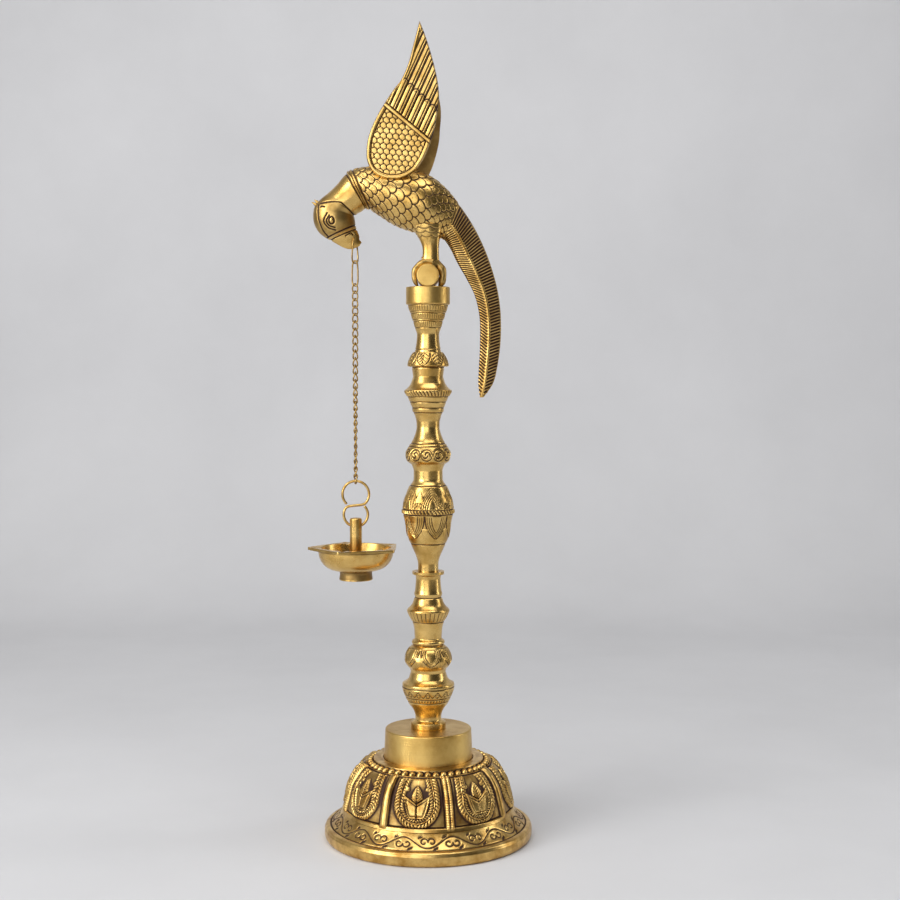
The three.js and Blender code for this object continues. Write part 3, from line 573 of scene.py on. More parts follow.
def make_base():
    """The carved bell, the flange round it with its vine, and the drum: three turned outlines."""
    facets = 744
    path = outline_of(BELL_ROWS, spacing=0.46, soften=0.6) + [0, BELL_FLOOR]
    path[:, 1] = np.minimum(path[:, 1], BELL_TOP)
    relief = dome_relief(front_of(facets), length_along(path)[:, None], path[:, :1])
    relief[-1] = 0
    # The wide share is painted shade in the broad ground of the panels
    shade = hollow(relief, reach=1.8, depth=0.6, wide=0.5) + 0.14
    bell = turned(path, BELL_INSIDE, facets, relief, shade)
    piece("cast_base_bell", [bell], "antiqued_cast_brass", "stand", ["base_bell"],
          crease=60)

    facets = 720
    path = outline_of(FLANGE_ROWS, spacing=0.44, soften=0.3)
    from_top = length_along(path[::-1])[::-1, None]
    wave, strokes = vine_strokes()
    across = cell(front_of(facets) + 0.12, VINE_WAVES) * wave
    near = distance_to(across, from_top, strokes)
    band = between(from_top, 0.4, 13.2, 0.6, 0.5)
    relief = -0.5 * ridge(near, 0.45) * band - 0.8 * ridge(from_top - VINE_EDGE, 0.5)
    shade = 1.2 * ridge(near, 0.5) * band + ridge(from_top - VINE_EDGE, 0.6) - 0.1
    ring = turned(path, FLANGE_INSIDE, facets, relief, shade)
    piece("cast_base_flange", [ring], "antiqued_cast_brass", "stand", ["base_bell"],
          crease=60)

    path = outline_of(DRUM_ROWS, spacing=0.4, soften=0.12) + [0, DRUM_FLOOR]
    drum = turned(path, DRUM_INSIDE, facets=160)
    piece("turned_drum", [drum], "turned_satin_brass", "stand", ["base_drum"],
          crease=30)


# Turned stem sections: rows of radius, rise and bulge, as on the real castings

STEM_FLOORS = {"foot": 82.6, "lower": 145.6, "barrel": 202.0, "upper": 283.3, "neck": 367.1}
STEM_ROWS = {
    "foot": [
        (13.0, 0), (13.2, 0.3), (13.2, 4.4), (10, 1.5), (10.1, 4.2, -0.2), (14.3, 7.4, -0.6),
        (19.5, 11.5, 0.3), (19.9, 2.3), (19.6, 2.9), (14.6, 4, -0.6), (13.2, 4.6), (13.8, 2.4),
        (17.2, 4.4, 0.3), (17.7, 3.4, 0.3), (14, 8.1, 0.7), (12.6, 1.6),
    ],
    "lower": [
        (11.2, 0), (12.2, 1.4, 0.2), (12.2, 2.4, 0.3), (10.2, 1.5), (10.6, 6.8), (12.5, 6.9, -0.3),
        (16.3, 7.6, 0.3), (15.5, 1.5), (11.7, 4.6, -0.5), (10.1, 4.6), (10.7, 2.1), (10, 2.5),
        (9.3, 9.1, -0.1), (9.6, 2.4), (12.1, 0.7), (12.1, 2.3),
    ],
    "barrel": [
        (7.8, 0), (7.7, 6), (9.5, 6.4, -0.2), (11.7, 5), (14.8, 6.9), (16.4, 7.7, 0.2), (17.1, 6),
        (18.2, 4.5), (19.6, 1.4), (19.6, 3), (18.9, 2.3), (16.6, 9.1, 0.5), (14, 6.7, 0.2),
        (10.95, 4.6, -0.4), (10.95, 6.8), (12.8, 4.9, -0.2),
    ],
    "upper": [
        (13.2, 0), (15.8, 1.9), (17.1, 4.6, 0.3), (17.1, 2.3), (14.2, 5.3), (10.3, 6.8, -0.4),
        (8.6, 6.8, -0.3), (8.8, 4.5), (10, 4.5), (11.6, 2.3), (12.2, 3.4), (15, 7), (17.9, 4.4),
        (17.9, 1.4), (12.8, 5.6, -0.6), (11.3, 4.5), (12.2, 7.1), (15.5, 0.8), (15.6, 1.2),
        (14.1, 4.6, 0.2), (11.1, 4.8, 0.2),
    ],
    "neck": [
        (9.9, 0), (9.6, 2), (8.3, 11.2, -0.3), (9.7, 4.2, -0.2), (11.3, 6.1), (11.7, 0.1),
        (13.3, 5.9), (13.7, 0.1), (15.4, 6),
    ],
}
CAP_FLOOR = 402.7
CAP_ROWS = [(16.0, 0), (16.5, 0.5), (16.5, 12.1), (16.1, 0.4), (10, 0.01)]
CAP_INSIDE = [(BORE, 415.7), (BORE, 405.4), (5.7, 405.4), (5.7, CAP_FLOOR)]
BAR_OUTLINE = [(0, 0), (7.9, 0), (8.4, 0.5), (8.4, 33.5), (7.9, 34), (0, 34)]
BAR_HALF = 17
BAR_FLAT = 8.1


def petal_inside(place, count, degrees, root, tip, fill=0.94, power=2.2):
    """How far a point lies inside pointed petals side by side round the stem: half a petal's width
    times (1 - rise ** power), less the distance from its middle line."""
    front, height, radius = place
    side = np.abs(from_mark(front - math.radians(degrees), radius, count))
    climb = (height - root) / (tip - root)
    half = fill * np.pi * radius / count * (1 - np.clip(climb, 0, 1) ** power)
    return np.where((climb < 0) | (climb > 1), -9.0, half - side)


def nested(inside, lift, gap=0.0, lines=0, deep=0.4):
    """A raised petal with engraved lines that repeat its edge."""
    relief = lift * smooth(inside, -0.3, 0.8) - deep * ridge(inside, 0.5)
    for line in range(1, lines + 1):
        relief = relief - deep * ridge(inside - gap * line, 0.45)
    return relief


def turned_lines(height, places, deep=0.45, wide=0.4):
    """Lines cut on the lathe: the sum of one soft groove at each height."""
    return sum(-deep * ridge(height - at, wide) for at in places)


def foot_relief(front, height, radius):
    """Engraved leaf band under the shoulder and a hanging lotus on the bulb above it."""
    place = front, height, radius
    leaf_edge = np.hypot(from_mark(front, radius, 16), height - 27.0) - 1.3
    wave = 27.9 + 1.9 * np.cos(16 * front)
    leaf = -0.4 * ridge(height - wave, 0.5) - 0.35 * ridge(leaf_edge, 0.4)
    ticks = -0.4 * np.clip(np.cos(46 * front), 0, 1) * between(height, 21.3, 23.6, 0.5, 0.5)
    lotus = nested(petal_inside(place, 6, 8, 61.2, 48.4, 0.9, 2.4), 0.4, 1.6, 2, 0.5)
    second = nested(petal_inside(place, 6, 38, 56.0, 47.0, 0.5, 1.2), 0.35)
    bulb = smooth(height, 42.5, 43.2) * np.maximum(lotus, second - 0.2)
    lines = turned_lines(height, (20.9, 24.1, 31.9))
    return leaf * between(height, 24.3, 31.6, 0.7) + ticks + lines + bulb


def lower_relief(front, height, radius):
    """A fluted petal skirt under the ridge, and turned lines."""
    flute = np.abs(from_mark(front, radius, 28))
    cut = -0.9 * ridge(flute - 0.9975 * np.pi * radius / 28 - 0.3, 0.45)
    return cut * between(height, 18.6, 26.4) + turned_lines(height, (18.2, 36.8, 1.0))


def barrel_relief(front, height, radius):
    """Lotus arches above a roped ring and hanging petals below it."""
    place = front, height, radius
    arch = nested(petal_inside(place, 6, 9, 47.6, 63.6), 0.3, 1.6, 4, 0.6)
    bud = nested(petal_inside(place, 6, 39, 53.0, 64.0, 0.42, 1.4), 0.3)
    hang = nested(petal_inside(place, 6, 22, 42.8, 25.5, 0.95, 2.8), 0.55, 1.6, 3, 0.5)
    tip = nested(petal_inside(place, 6, 52, 33.0, 22.5, 0.5, 1.4), 0.35, 1.4, 1)
    rope = 0.5 * np.sin(44 * front + 1.6 * height) * between(height, 43.9, 47.2)
    upper = smooth(height, 47.4, 48.0) * np.maximum(arch, bud - 0.15)
    lower = smooth(43.2 - height, 0, 0.6) * np.maximum(hang, tip - 0.2)
    return upper + lower + rope + turned_lines(height, (65.2, 43.5, 47.3, 21.0), 0.5, 0.42)


def upper_relief(front, height, radius):
    """Swirled circles round the bulb, a slanting roped ring and an engraved skirt of leaves."""
    across = from_mark(front + 0.05, radius, 11)
    up = height - 6.9
    away = np.hypot(across, up)
    swirl = smooth(np.cos(np.arctan2(up, across) * 2 + away * 1.7), 0.0, 0.5)
    circle = -0.55 * ridge(away - 4.4, 0.5) - 0.45 * swirl * smooth(3.7 - away, 0, 0.6)
    slant = -0.8 * np.clip(np.cos(40 * front + 0.95 * height), 0, 1) ** 1.3
    leaf = petal_inside((front, height, radius), 8, -14, 83.4, 72.9, 0.96, 3.0)
    side = np.abs(from_mark(front - math.radians(-14), radius, 8))
    beat = np.clip(np.sin(2 * np.pi * (height + 0.9 * side) / 2.6), 0, 1)
    veins = -0.35 * beat * smooth(leaf, 0.6, 1.2) - 0.3 * ridge(side, 0.3)
    skirt = (nested(leaf, 0.08) + veins) * smooth(height, 72.6, 73.2)
    lines = turned_lines(height, (13.3, 15.6, 38.3, 42.0, 46.4, 50.2, 72.3))
    bulb = circle * between(height, 1.6, 12.2, 0.6, 0.8)
    return bulb + slant * between(height, 50.5, 54.9, 0.5, 0.5) + skirt + lines


def neck_relief(front, height, radius):
    """Fine upright beading on each of the three steps under the cap."""
    relief = turned_lines(height, (2.2,), 0.35, 0.3)
    for low, high in ((18.6, 22.6), (24.6, 28.6), (30.6, 34.6)):
        step = between(height, low, high, 0.5, 0.5)
        relief = relief - 0.25 * step * np.clip(np.cos(44 * front), 0, 1)
        relief = relief + turned_lines(height, (low - 0.3, high + 0.3), 0.3, 0.35)
    return relief


STEM_RELIEFS = {
    "foot": foot_relief, "lower": lower_relief, "barrel": barrel_relief, "upper": upper_relief,
    "neck": neck_relief,
}


def make_stem():
    """Five carved sections with spigots and sockets, the cap, and the bar that lies across it."""
    facets = 264
    socket = SPIGOT + SEAT_GAP
    rest = SPIGOT_HEIGHT + SEAT_GAP
    for name, rows in STEM_ROWS.items():
        path = outline_of(rows, spacing=0.36, soften=0.32)
        height = path[:, 1:]
        top = path[-1, 1]
        relief = STEM_RELIEFS[name](front_of(facets), height, path[:, :1])
        relief = relief * between(height, 0, top)
        hidden = [(SPIGOT, top), (SPIGOT, top + SPIGOT_HEIGHT), (BORE, top + SPIGOT_HEIGHT),
                  (BORE, rest), (socket, rest), (socket, 0)]
        # The wide share is painted shade in broad hollows
        shade = hollow(relief, reach=2.2, depth=0.24, wide=0.2)
        section = turned(path, hidden, facets, relief, shade, floor=STEM_FLOORS[name])
        piece(f"cast_stem_{name}", [section], "polished_cast_brass", "stand", [f"stem_{name}"],
              crease=50)

    path = outline_of(CAP_ROWS, spacing=0.3, soften=0.1) + [0, CAP_FLOOR]
    cap = turned(path, CAP_INSIDE, facets=128)
    piece("turned_perch_cap", [cap], "turned_satin_brass", "stand", ["perch_cap"],
          crease=30)

    path = even(np.array(BAR_OUTLINE), 120)
    angle = full_turn(72)
    up = np.maximum(path[:, :1] * np.sin(angle), -BAR_FLAT)
    bar = grid(COLUMN_X + path[:, :1] * np.cos(angle), path[:, 1:] - BAR_HALF, PERCH_Z + up)
    piece("perch_rod", [shell(bar)], "turned_satin_brass", "stand", ["perch_bar"],
          crease=30)


# Parrot, measured from the perch bar's axis. A row holds the back edge's x and z, the belly
# edge's x and z and the half breadth, from the beak's tip over the head to the tip of the tail.

PARROT_ROWS = [
    (-51.3, 22.4, -49.6, 25.3, 1.2), (-56.9, 20.3, -51.2, 27.5, 1.9), (-62.2, 21, -51.3, 29.8, 2.6),
    (-68.9, 24.4, -52.8, 34, 5.2), (-76.3, 28.8, -54.2, 37.5, 9.6), (-81.6, 33.3, -54.7, 39.8, 12),
    (-84.9, 40, -55, 41.8, 13.2), (-85.2, 47.5, -55.3, 43.7, 13.2), (-82.6, 54, -55.1, 45.4, 12.8),
    (-69.2, 66.7, -50.3, 47.8, 13), (-58.9, 77.7, -45.1, 50.3, 14.2), (-47, 81, -36, 45, 16.5),
    (-32, 81.7, -24.8, 38, 18.5), (-14, 80, -12, 33.3, 19), (1.5, 74.5, -0.5, 31, 17.5),
    (12.5, 66.2, 6, 29.4, 13.5), (21.5, 55.8, 11.4, 27.6, 9), (32.9, 39.2, 16.4, 21, 6),
    (42, 21.4, 22.2, 9.5, 4.6), (48.4, 4, 28.7, -1.7, 4), (52.5, -12, 35, -14.5, 3.6),
    (54.6, -29.5, 38.6, -30.5, 3.3), (54.4, -50, 39, -50, 3), (52, -68, 38.2, -68, 2.6),
    (48.9, -80, 37.8, -80, 2), (41.8, -90.6, 39, -90.6, 0.7),
]
COLLAR_ROW = 10
COLLAR_PACE = 14.0
TAIL_ROW = 16.15
SCALE_COLUMNS = 14
SCALE_REACH = 0.53
HEAD_LINES = [
    [(-79.5, 53.2), (-74, 53.9), (-68, 53.9), (-63.6, 53.1), (-58.8, 49), (-55.2, 45.4)],
    [(-75.0, 28.4), (-66, 32.2), (-54.0, 37.9)],
    [(-74.0, 26.0), (-65, 29.6), (-53.0, 35.0)],
    [(-81.0, 52), (-81.3, 47.5), (-80.7, 41.5), (-79, 36.3), (-77, 32.5), (-74.2, 29.2)],
    [(-74.3, 45.6), (-76.8, 40), (-73.5, 35.2), (-68.3, 33.5)],
    [(-72.6, 43.8), (-74.7, 40), (-72.8, 36.7), (-68.6, 35.2)],
    [(-72.4, 42.6), (-73, 40), (-71.6, 37.8), (-69.6, 38.2), (-69.0, 40.4), (-70.4, 42.8),
     (-72.4, 42.6)],
    [(-61.0, 29.5), (-57.5, 31.6), (-55.6, 30.6)],
    [(-79.0, 50.9), (-76.4, 50.6)],
]
GROOVE_PACE = 1.85
LEG_SIDE = 7
LEG_SCALE = 3.1
LEG_COLUMN = 5.0
LEG_COLUMNS = 7
LEG_ROWS = [
    (7.0, 1.8, 7.6, 3.7), (12.0, 2.0, 6.5, 3.8), (17.0, 2.2, 6.0, 3.6), (22.0, 2.0, 6.2, 3.8),
    (27.0, 1.3, 7.4, 4.6), (32.0, 0.4, 9.4, 5.8), (38.0, -0.6, 11.5, 6.8),
]
# Start and end angle round the bar, radius of the arc and thickness
FRONT_TOE = (70, 224, 10.3, 2.1)
REAR_TOE = (110, -44, 11.2, 3.1)
TOE_SPREAD = 3.0
# Root, tip and thickness
CREST_TUFTS = [
    ((-79.6, 0, 51.0), (-85.0, 0, 57.0), 2.0), ((-80.6, 0, 49.6), (-87.0, 0, 55.2), 1.8),
]


def parrot_rings(at, sides):
    """Elliptic rings through the parrot's rows at the given row numbers, and their middles."""
    row = through(PARROT_ROWS, at)
    middle = (row[:, :2] + row[:, 2:4]) / 2
    reach = (row[:, :2] - row[:, 2:4]) / 2
    turn = full_turn(sides)[None]
    x = middle[:, :1] + reach[:, :1] * np.cos(turn)
    z = middle[:, 1:] + reach[:, 1:] * np.cos(turn)
    return grid(x, row[:, 4:5] * np.sin(turn), z), middle


def ring_moves(points):
    """Mean distance from each ring to the next."""
    return np.linalg.norm(np.diff(points, axis=0), axis=2).mean(axis=1)


def even_rows(low, high, count):
    """Row numbers that lie at equal distances along the parrot."""
    fine = np.linspace(low, high, 1500)
    length = running(ring_moves(parrot_rings(fine, 4)[0]))
    return np.interp(np.linspace(0, length[-1], count), length, fine)


def outward(points):
    """Unit normals of a grid of rings that point away from the rings' middles."""
    along = np.gradient(points, axis=0)
    around = np.roll(points, -1, axis=1) - np.roll(points, 1, axis=1)
    normal = np.cross(around, along)
    normal /= np.linalg.norm(normal, axis=2, keepdims=True) + 1e-9
    away = np.sum(normal * (points - points.mean(axis=1, keepdims=True)), axis=2)
    return normal * np.sign(np.median(away))


def to_lamp(points):
    """From the perch bar's axis to the lamp's frame."""
    return points + [COLUMN_X, 0, PERCH_Z]


def carved(points, relief, shade):
    """A shell of rings, each point pushed out along its normal by the relief."""
    return shell(to_lamp(points + relief[..., None] * outward(points)), shade)


def parrot_head():
    """Head and neck: rings pushed out along their normals by engraved head lines and the collar's
    front ring. The last rows tuck in under the body's collar."""
    at = even_rows(0, COLLAR_ROW + 0.06, 250)
    points, _ = parrot_rings(at, 340)
    x, z = points[..., 0], points[..., 2]
    row = at[:, None]
    head = smooth(9.2 - row, 0, 0.2) * smooth(row, 0.6, 1.0)
    cut = head * ridge(distance_to(x, z, [curve(line) for line in HEAD_LINES]), 0.5)
    eye = np.hypot((x + 71.1) / 1.35, (z - 40.4) / 2.0)
    cheek = z - 27.2 - 0.46 * (x + 74.5)
    face = smooth(cheek, -0.4, 0.6) * smooth(8.6 - row, 0, 0.3) * smooth(row, 2.0, 3.0)
    collar = (row - COLLAR_ROW) * COLLAR_PACE
    relief = 0.9 * head * dome(eye, 1.0) + 0.35 * face - 0.75 * cut
    relief = relief + ridge(collar + 1.1, 0.9) - 0.5 * ridge(collar + 3.1, 0.6)
    relief = relief - 1.2 * smooth(collar, -0.1, 0.4)
    # The face patch's share darkens the cheek: part brown patina, part painted shade
    shade = 1.1 * cut + 0.9 * ridge(collar + 3.0, 0.7) + 0.8 * ridge(collar, 0.7) + 0.36 * face
    return carved(points, relief, shade + hollow(relief, reach=2, depth=0.6))


def parrot_torso():
    """Body: rings pushed out along their normals by the collar's rear ring and by overlapping
    scales that grow and shrink with the girth, each with a dark cut round its free edge."""
    at = even_rows(COLLAR_ROW - 0.04, TAIL_ROW, 270)
    points, _ = parrot_rings(at, 350)
    ring_step = np.linalg.norm(np.roll(points, -1, axis=1) - points, axis=2)
    width = ring_step.sum(axis=1, keepdims=True) / SCALE_COLUMNS
    around = (np.cumsum(ring_step, axis=1) - ring_step) / width
    along = running(ring_moves(points) / width[1:, 0])[:, None]
    height, middle = scales(along + 0 * around, around, 0.57, 1.0, SCALE_REACH)
    row = at[:, None]
    scaled = between(row, COLLAR_ROW + 0.3, TAIL_ROW, 0.08, 0.1)
    arc = 1 - smooth((SCALE_REACH - middle) * width, 0.45, 1.05)
    dot = ridge(middle * width, 0.4)
    swell = 0.1 * width * (height - 0.6) + 0.3 * dome(middle, 0.58)
    collar = (row - COLLAR_ROW) * COLLAR_PACE
    relief = scaled * (swell - 0.45 * arc - 0.15 * dot)
    relief = relief + 0.8 * ridge(collar - 1.3, 0.8) - 0.6 * ridge(collar - 3.2, 0.7)
    shade = scaled * (arc + 0.35 * dot) + 0.9 * ridge(collar - 3.1, 0.8) + 0.7 * ridge(collar, 0.6)
    return carved(points, relief, shade + hollow(relief, reach=2, depth=0.9))


def parrot_tail():
    """One long feather: a flat ring section with a raised midrib and a wave of grooves that slants
    away from it on both sides, more towards the tip on the outer side, which is darker."""
    sides = 104
    at = even_rows(TAIL_ROW - 1.0, 25, 700)
    points, middle = parrot_rings(at, sides)
    row = at[:, None]
    turn = full_turn(sides)[None]
    reach = np.linalg.norm(points[:, :1] - points[:, sides // 2, None], axis=2) / 2
    length = length_along(middle)[:, None]
    share = length / length[-1]
    off = reach * np.cos(turn) + 0.18 * reach
    slant = np.where(off > 0, 0.4 * share * off, 0.65 * -off)
    beat = np.cos(2 * np.pi * (length * (1 - 0.14 * share) + slant) / GROOVE_PACE)
    grooved = smooth(np.abs(off), 0.8, 1.4) * smooth(length[-1] - length, 0, 3)
    grooved = grooved * smooth(row, TAIL_ROW - 0.1, TAIL_ROW + 0.1)
    flank = smooth(1 - np.abs(np.cos(turn)), 0, 0.07)
    relief = 0.5 * beat * grooved * flank + 1.1 * ridge(off, 0.9) * np.minimum(1, reach / 5)
    relief = relief - 1.4 * (1 - smooth(row, TAIL_ROW - 0.7, TAIL_ROW + 0.25))
    outer = np.clip(0.98 - 0.65 * beat, 0.45, 1) * smooth(1.18 * reach - off, -0.5, 1.2)
    inner = np.clip(0.45 - 1.1 * beat, 0.06, 1)
    return carved(points, relief, np.where(off > 0, outer, inner) * grooved)


def parrot_leg(side):
    """A leg: elliptic rings through rows of height, place, half depth and half breadth, with scales
    on the thigh."""
    row = through(LEG_ROWS, np.linspace(0, len(LEG_ROWS) - 1, 110))
    turn = full_turn(64)[None]
    x = row[:, 1:2] + row[:, 2:3] * np.cos(turn)
    y = side * LEG_SIDE + row[:, 3:4] * np.sin(turn)
    z = row[:, :1] + 0 * turn
    around = turn * LEG_COLUMNS * LEG_COLUMN / (2 * np.pi) + 0 * z
    height, middle = scales(-z, around, LEG_SCALE, LEG_COLUMN, LEG_SCALE)
    high = smooth(z, 26.0, 27.0)
    relief = high * (0.5 * (height - 0.6) - 0.3 * ridge(LEG_SCALE - middle, 0.5))
    shade = high * ridge(LEG_SCALE - middle, 0.55) + hollow(relief, reach=2, depth=0.8)
    return carved(grid(x, y, z), relief, shade)


def toe(offset, start, end, centre, thick):
    """A toe that clasps the bar: an arc round the bar's axis, with knuckles and a pointed claw."""
    angle = np.radians(np.linspace(start, end, 72))
    share = np.linspace(0, 1, 72)
    path = grid(centre * np.cos(angle), offset, centre * np.sin(angle))
    radius = thick * (1 + 0.1 * np.cos(2 * np.pi * 3.5 * share))
    radius = radius * np.sqrt(np.clip(1.02 - share**5, 0.03, 1))
    return tube(to_lamp(path), radius, (0, 1, 0), sides=16, patina_and_shade=0.35)


def horn(root, tip, thick):
    """A small tapering tuft from root to tip."""
    share = np.linspace(0, 1, 24)
    path = np.array([root]) * (1 - share)[:, None] + np.array([tip]) * share[:, None]
    path[:, 2] += 0.8 * np.sin(np.pi * share)
    radius = thick * (1.05 - share**1.5)
    return tube(to_lamp(path), radius, (0, 1, 0), sides=14, patina_and_shade=0.4)


def make_parrot():
    """Head, torso, tail, legs, claws and crest of the one casting."""
    claws = []
    for side in (-LEG_SIDE, LEG_SIDE):
        for spread in (-TOE_SPREAD, 0.0, TOE_SPREAD):
            claws.append(toe(side + spread, *FRONT_TOE))
        claws.append(toe(side, *REAR_TOE))
    crest = [horn(*tuft) for tuft in CREST_TUFTS]
    for name, shells, crease in (
        ("parrot_head", [parrot_head()], 60), ("parrot_torso", [parrot_torso()], 60),
        ("parrot_tail", [parrot_tail()], 70), ("parrot_legs", [parrot_leg(-1), parrot_leg(1)], 60),
        ("parrot_claws", claws, 60), ("parrot_crest", crest, 60),
    ):
        piece(name, shells, "polished_cast_brass", "stand", ["parrot_body"],
              crease=crease)


# Wings, measured from the perch bar's axis: edges as points of x and z

WING_LEADING = [
    (-26, 69.8), (-31.2, 70.4), (-37.7, 73.2), (-42, 77.6), (-44.6, 84.8), (-44.6, 94), (-43, 102),
    (-39.6, 110.7), (-34.9, 119.8), (-29.6, 128.2), (-24.2, 136), (-19, 142.8), (-14, 154.3),
    (-10.4, 167.5), (-5.8, 184.9),
]
WING_TRAILING = [
    (-26, 69.8), (-19.4, 70.4), (-13.2, 73.2), (-8, 77.4), (-2.2, 86.4), (2.4, 97.6), (5.2, 107),
    (6.5, 115), (8, 124), (8.4, 132.5), (7, 143.5), (4.5, 154.4), (1.4, 165.3), (-2.2, 176),
    (-5.8, 184.9),
]
WING_FOOT = 69.85
WING_TIP = 184.8
WING_INNER = 15.3
WING_THICK = 3.2
WING_RELIEF = 0.9
WING_LUG = (-25, 75.5)
LUG_RADIUS = 3.4
LUG_SIDES = 24
FAR_TURN = math.radians(-5)
FAR_SHIFT = (6, -6)
BAND_START = np.array([-32.4, 125.3])
BAND_END = np.array([3.2, 96.0])
BAND_HALF = 1.8
FEATHER_WIDTH = 5.3
FEATHER_AXIS = np.array([0.419, 0.908])
COVERT_START = np.array([-19.0, 145.7])
COVERT_END = np.array([5.0, 123.3])


def wing_relief(x, z, edge):
    """A wing's outer face: a rim, an oval field of small scales under a plain band with two cut
    lines, and two tiers of feathers. A feather is a round bar in a strip along one slanting axis,
    with its end a half disc."""
    along_band = (BAND_END - BAND_START) / np.linalg.norm(BAND_END - BAND_START)
    from_start = x - BAND_START[0], z - BAND_START[1]
    above = from_start[1] * along_band[0] - from_start[0] * along_band[1]
    rim = 0.9 * dome(edge - 1.5, 2.0)
    climb, middle = scales(z + 0.08 * x, x, 3.8, 4.6, 2.7)
    arc = smooth(middle, 1.9, 2.4)
    field = 0.5 * (climb - 0.6) + 0.2 * dome(middle, 2.9) - 0.5 * arc - 0.3
    border = ridge(edge - 3.3, 0.4) * smooth(-above, 1.2, 1.8)
    on_field = smooth(edge, 3.6, 4.1)
    oval = np.where(edge < 3.6, rim, field * on_field) - 0.7 * border
    dark_oval = np.maximum(0.95 * arc * on_field, 1.1 * border)

    side = np.array([FEATHER_AXIS[1], -FEATHER_AXIS[0]])
    strip = (from_start[0] * side[0] + from_start[1] * side[1]) / FEATHER_WIDTH
    local = (strip - np.floor(strip) - 0.5) * FEATHER_WIDTH
    line = (np.floor(strip) + 0.5) * FEATHER_WIDTH
    climb = from_start[0] * FEATHER_AXIS[0] + from_start[1] * FEATHER_AXIS[1]
    lean = COVERT_END - COVERT_START
    start = COVERT_START - BAND_START
    share = (line - start @ side) / (lean @ side)
    end = start @ FEATHER_AXIS + share * (lean @ FEATHER_AXIS)
    half = FEATHER_WIDTH / 2
    away = np.hypot(local, np.maximum(0, climb - end + half))
    groove = ridge(local - 0.6, 0.42)
    on_covert = smooth(half - away, 0.5, 1.2)
    covert = 1.6 * dome(away, half) ** 0.8 - 0.5 * groove * on_covert
    primary = 1.1 * dome(local, half) ** 0.8 - 0.5 * groove - 0.4
    feathers = np.where(away < half, covert, primary)
    dark_covert = 1 - smooth(half - away, 0.25, 0.9) + 0.85 * groove * on_covert
    dark_primary = 1 - smooth(half - np.abs(local), 0.3, 0.95) + 0.9 * groove
    dark = np.where(away < half, dark_covert, dark_primary)
    dark = np.maximum(dark, ridge(away - half, 0.75) * (climb > end - half))
    from_lead = x - np.interp(z, *np.array(WING_LEADING)[:, ::-1].T)
    leading = smooth(from_lead, 3.2, 2.4)
    feathers = np.maximum(feathers, 1.3 * dome(edge - 1.2, 1.6) * leading)
    dark = dark * (1 - leading)

    lines = ridge(above - 1.45, 0.33) + ridge(above + 1.45, 0.33)
    on_band = np.abs(above) <= BAND_HALF
    relief = np.where(on_band, 0.8 - 0.8 * lines, np.where(above > 1.2, feathers, oval))
    shade = np.where(on_band, lines, np.where(above > 1.2, dark, dark_oval))
    lower_rim = (edge < 2.6) & (above < -BAND_HALF)
    return np.where(lower_rim, np.maximum(relief, rim), relief), np.where(lower_rim, 0, shade)


def wing_shell(side):
    """A wing plate: each level runs from the leading to the trailing edge over the carved face and
    back over the plain inner face. The far wing is the mirror image, turned a little about its
    lug, which is a short round bar."""
    rows, columns = (400, 220) if side < 0 else (240, 120)
    back_columns = 10
    levels = WING_FOOT + (WING_TIP - WING_FOOT) * np.linspace(0, 1, rows)[:, None] ** 1.25
    leading = through(WING_LEADING, np.linspace(0, len(WING_LEADING) - 1, 400))
    trailing = through(WING_TRAILING, np.linspace(0, len(WING_TRAILING) - 1, 400))
    left = np.interp(levels, leading[:, 1], leading[:, 0])
    right = np.interp(levels, trailing[:, 1], trailing[:, 0])
    share = np.linspace(0, 1, columns)[None]
    share = 0.6 * share + 0.4 * (0.5 - 0.5 * np.cos(np.pi * share))
    x = left + (right - left) * share
    z = levels + 0 * x
    edge = distance_to(x, z, [even(np.vstack([leading, trailing[::-1]]), 520)])
    relief, dark = wing_relief(x, z, edge)
    relief = relief * smooth(edge, 0, 0.8)
    rounded = (WING_THICK - WING_RELIEF) * dome(np.minimum(edge, 1.1) - 1.1, 1.1)
    back_x = left + (right - left) * np.linspace(1, 0, back_columns)[None]
    face = grid(x, WING_INNER + rounded + relief, z)
    points = np.hstack([face, grid(back_x, WING_INNER, levels)])
    # Painted shade: the plain inner faces, turned to the body, are darkened, the far wing's more than
    # the near one's
    inner = np.full((rows, back_columns), 0.35 if side < 0 else 0.5)
    shade = np.hstack([dark + hollow(relief, reach=2, depth=0.9), inner])
    lug_path = grid(WING_LUG[0], np.array([8.9, 12, 17]), WING_LUG[1])
    lug = tube(lug_path, LUG_RADIUS, (1, 0, 0), sides=LUG_SIDES)[0]
    if side > 0:
        x = points[..., 0] - WING_LUG[0]
        z = points[..., 2] - WING_LUG[1]
        turned_x = x * math.cos(FAR_TURN) + z * math.sin(FAR_TURN) + WING_LUG[0] + FAR_SHIFT[0]
        turned_z = z * math.cos(FAR_TURN) - x * math.sin(FAR_TURN) + WING_LUG[1] + FAR_SHIFT[1]
        points = grid(turned_x, points[..., 1], turned_z)
        lug = lug + [FAR_SHIFT[0], 0, FAR_SHIFT[1]]
    mirror = np.array([1, side, 1])
    stem = shell(to_lamp(lug[:-2].reshape(3, LUG_SIDES, 3) * mirror))
    return [shell(to_lamp(points * mirror), shade), stem]


def make_wings():
    """The near wing in fine detail, and the far one."""
    for name, side, cad in (("near_wing", -1, "wing_near"), ("far_wing", 1, "wing_far")):
        piece(name, wing_shell(side), "polished_cast_brass", "stand", [cad],
              crease=60)


# Wire links, chain and hook

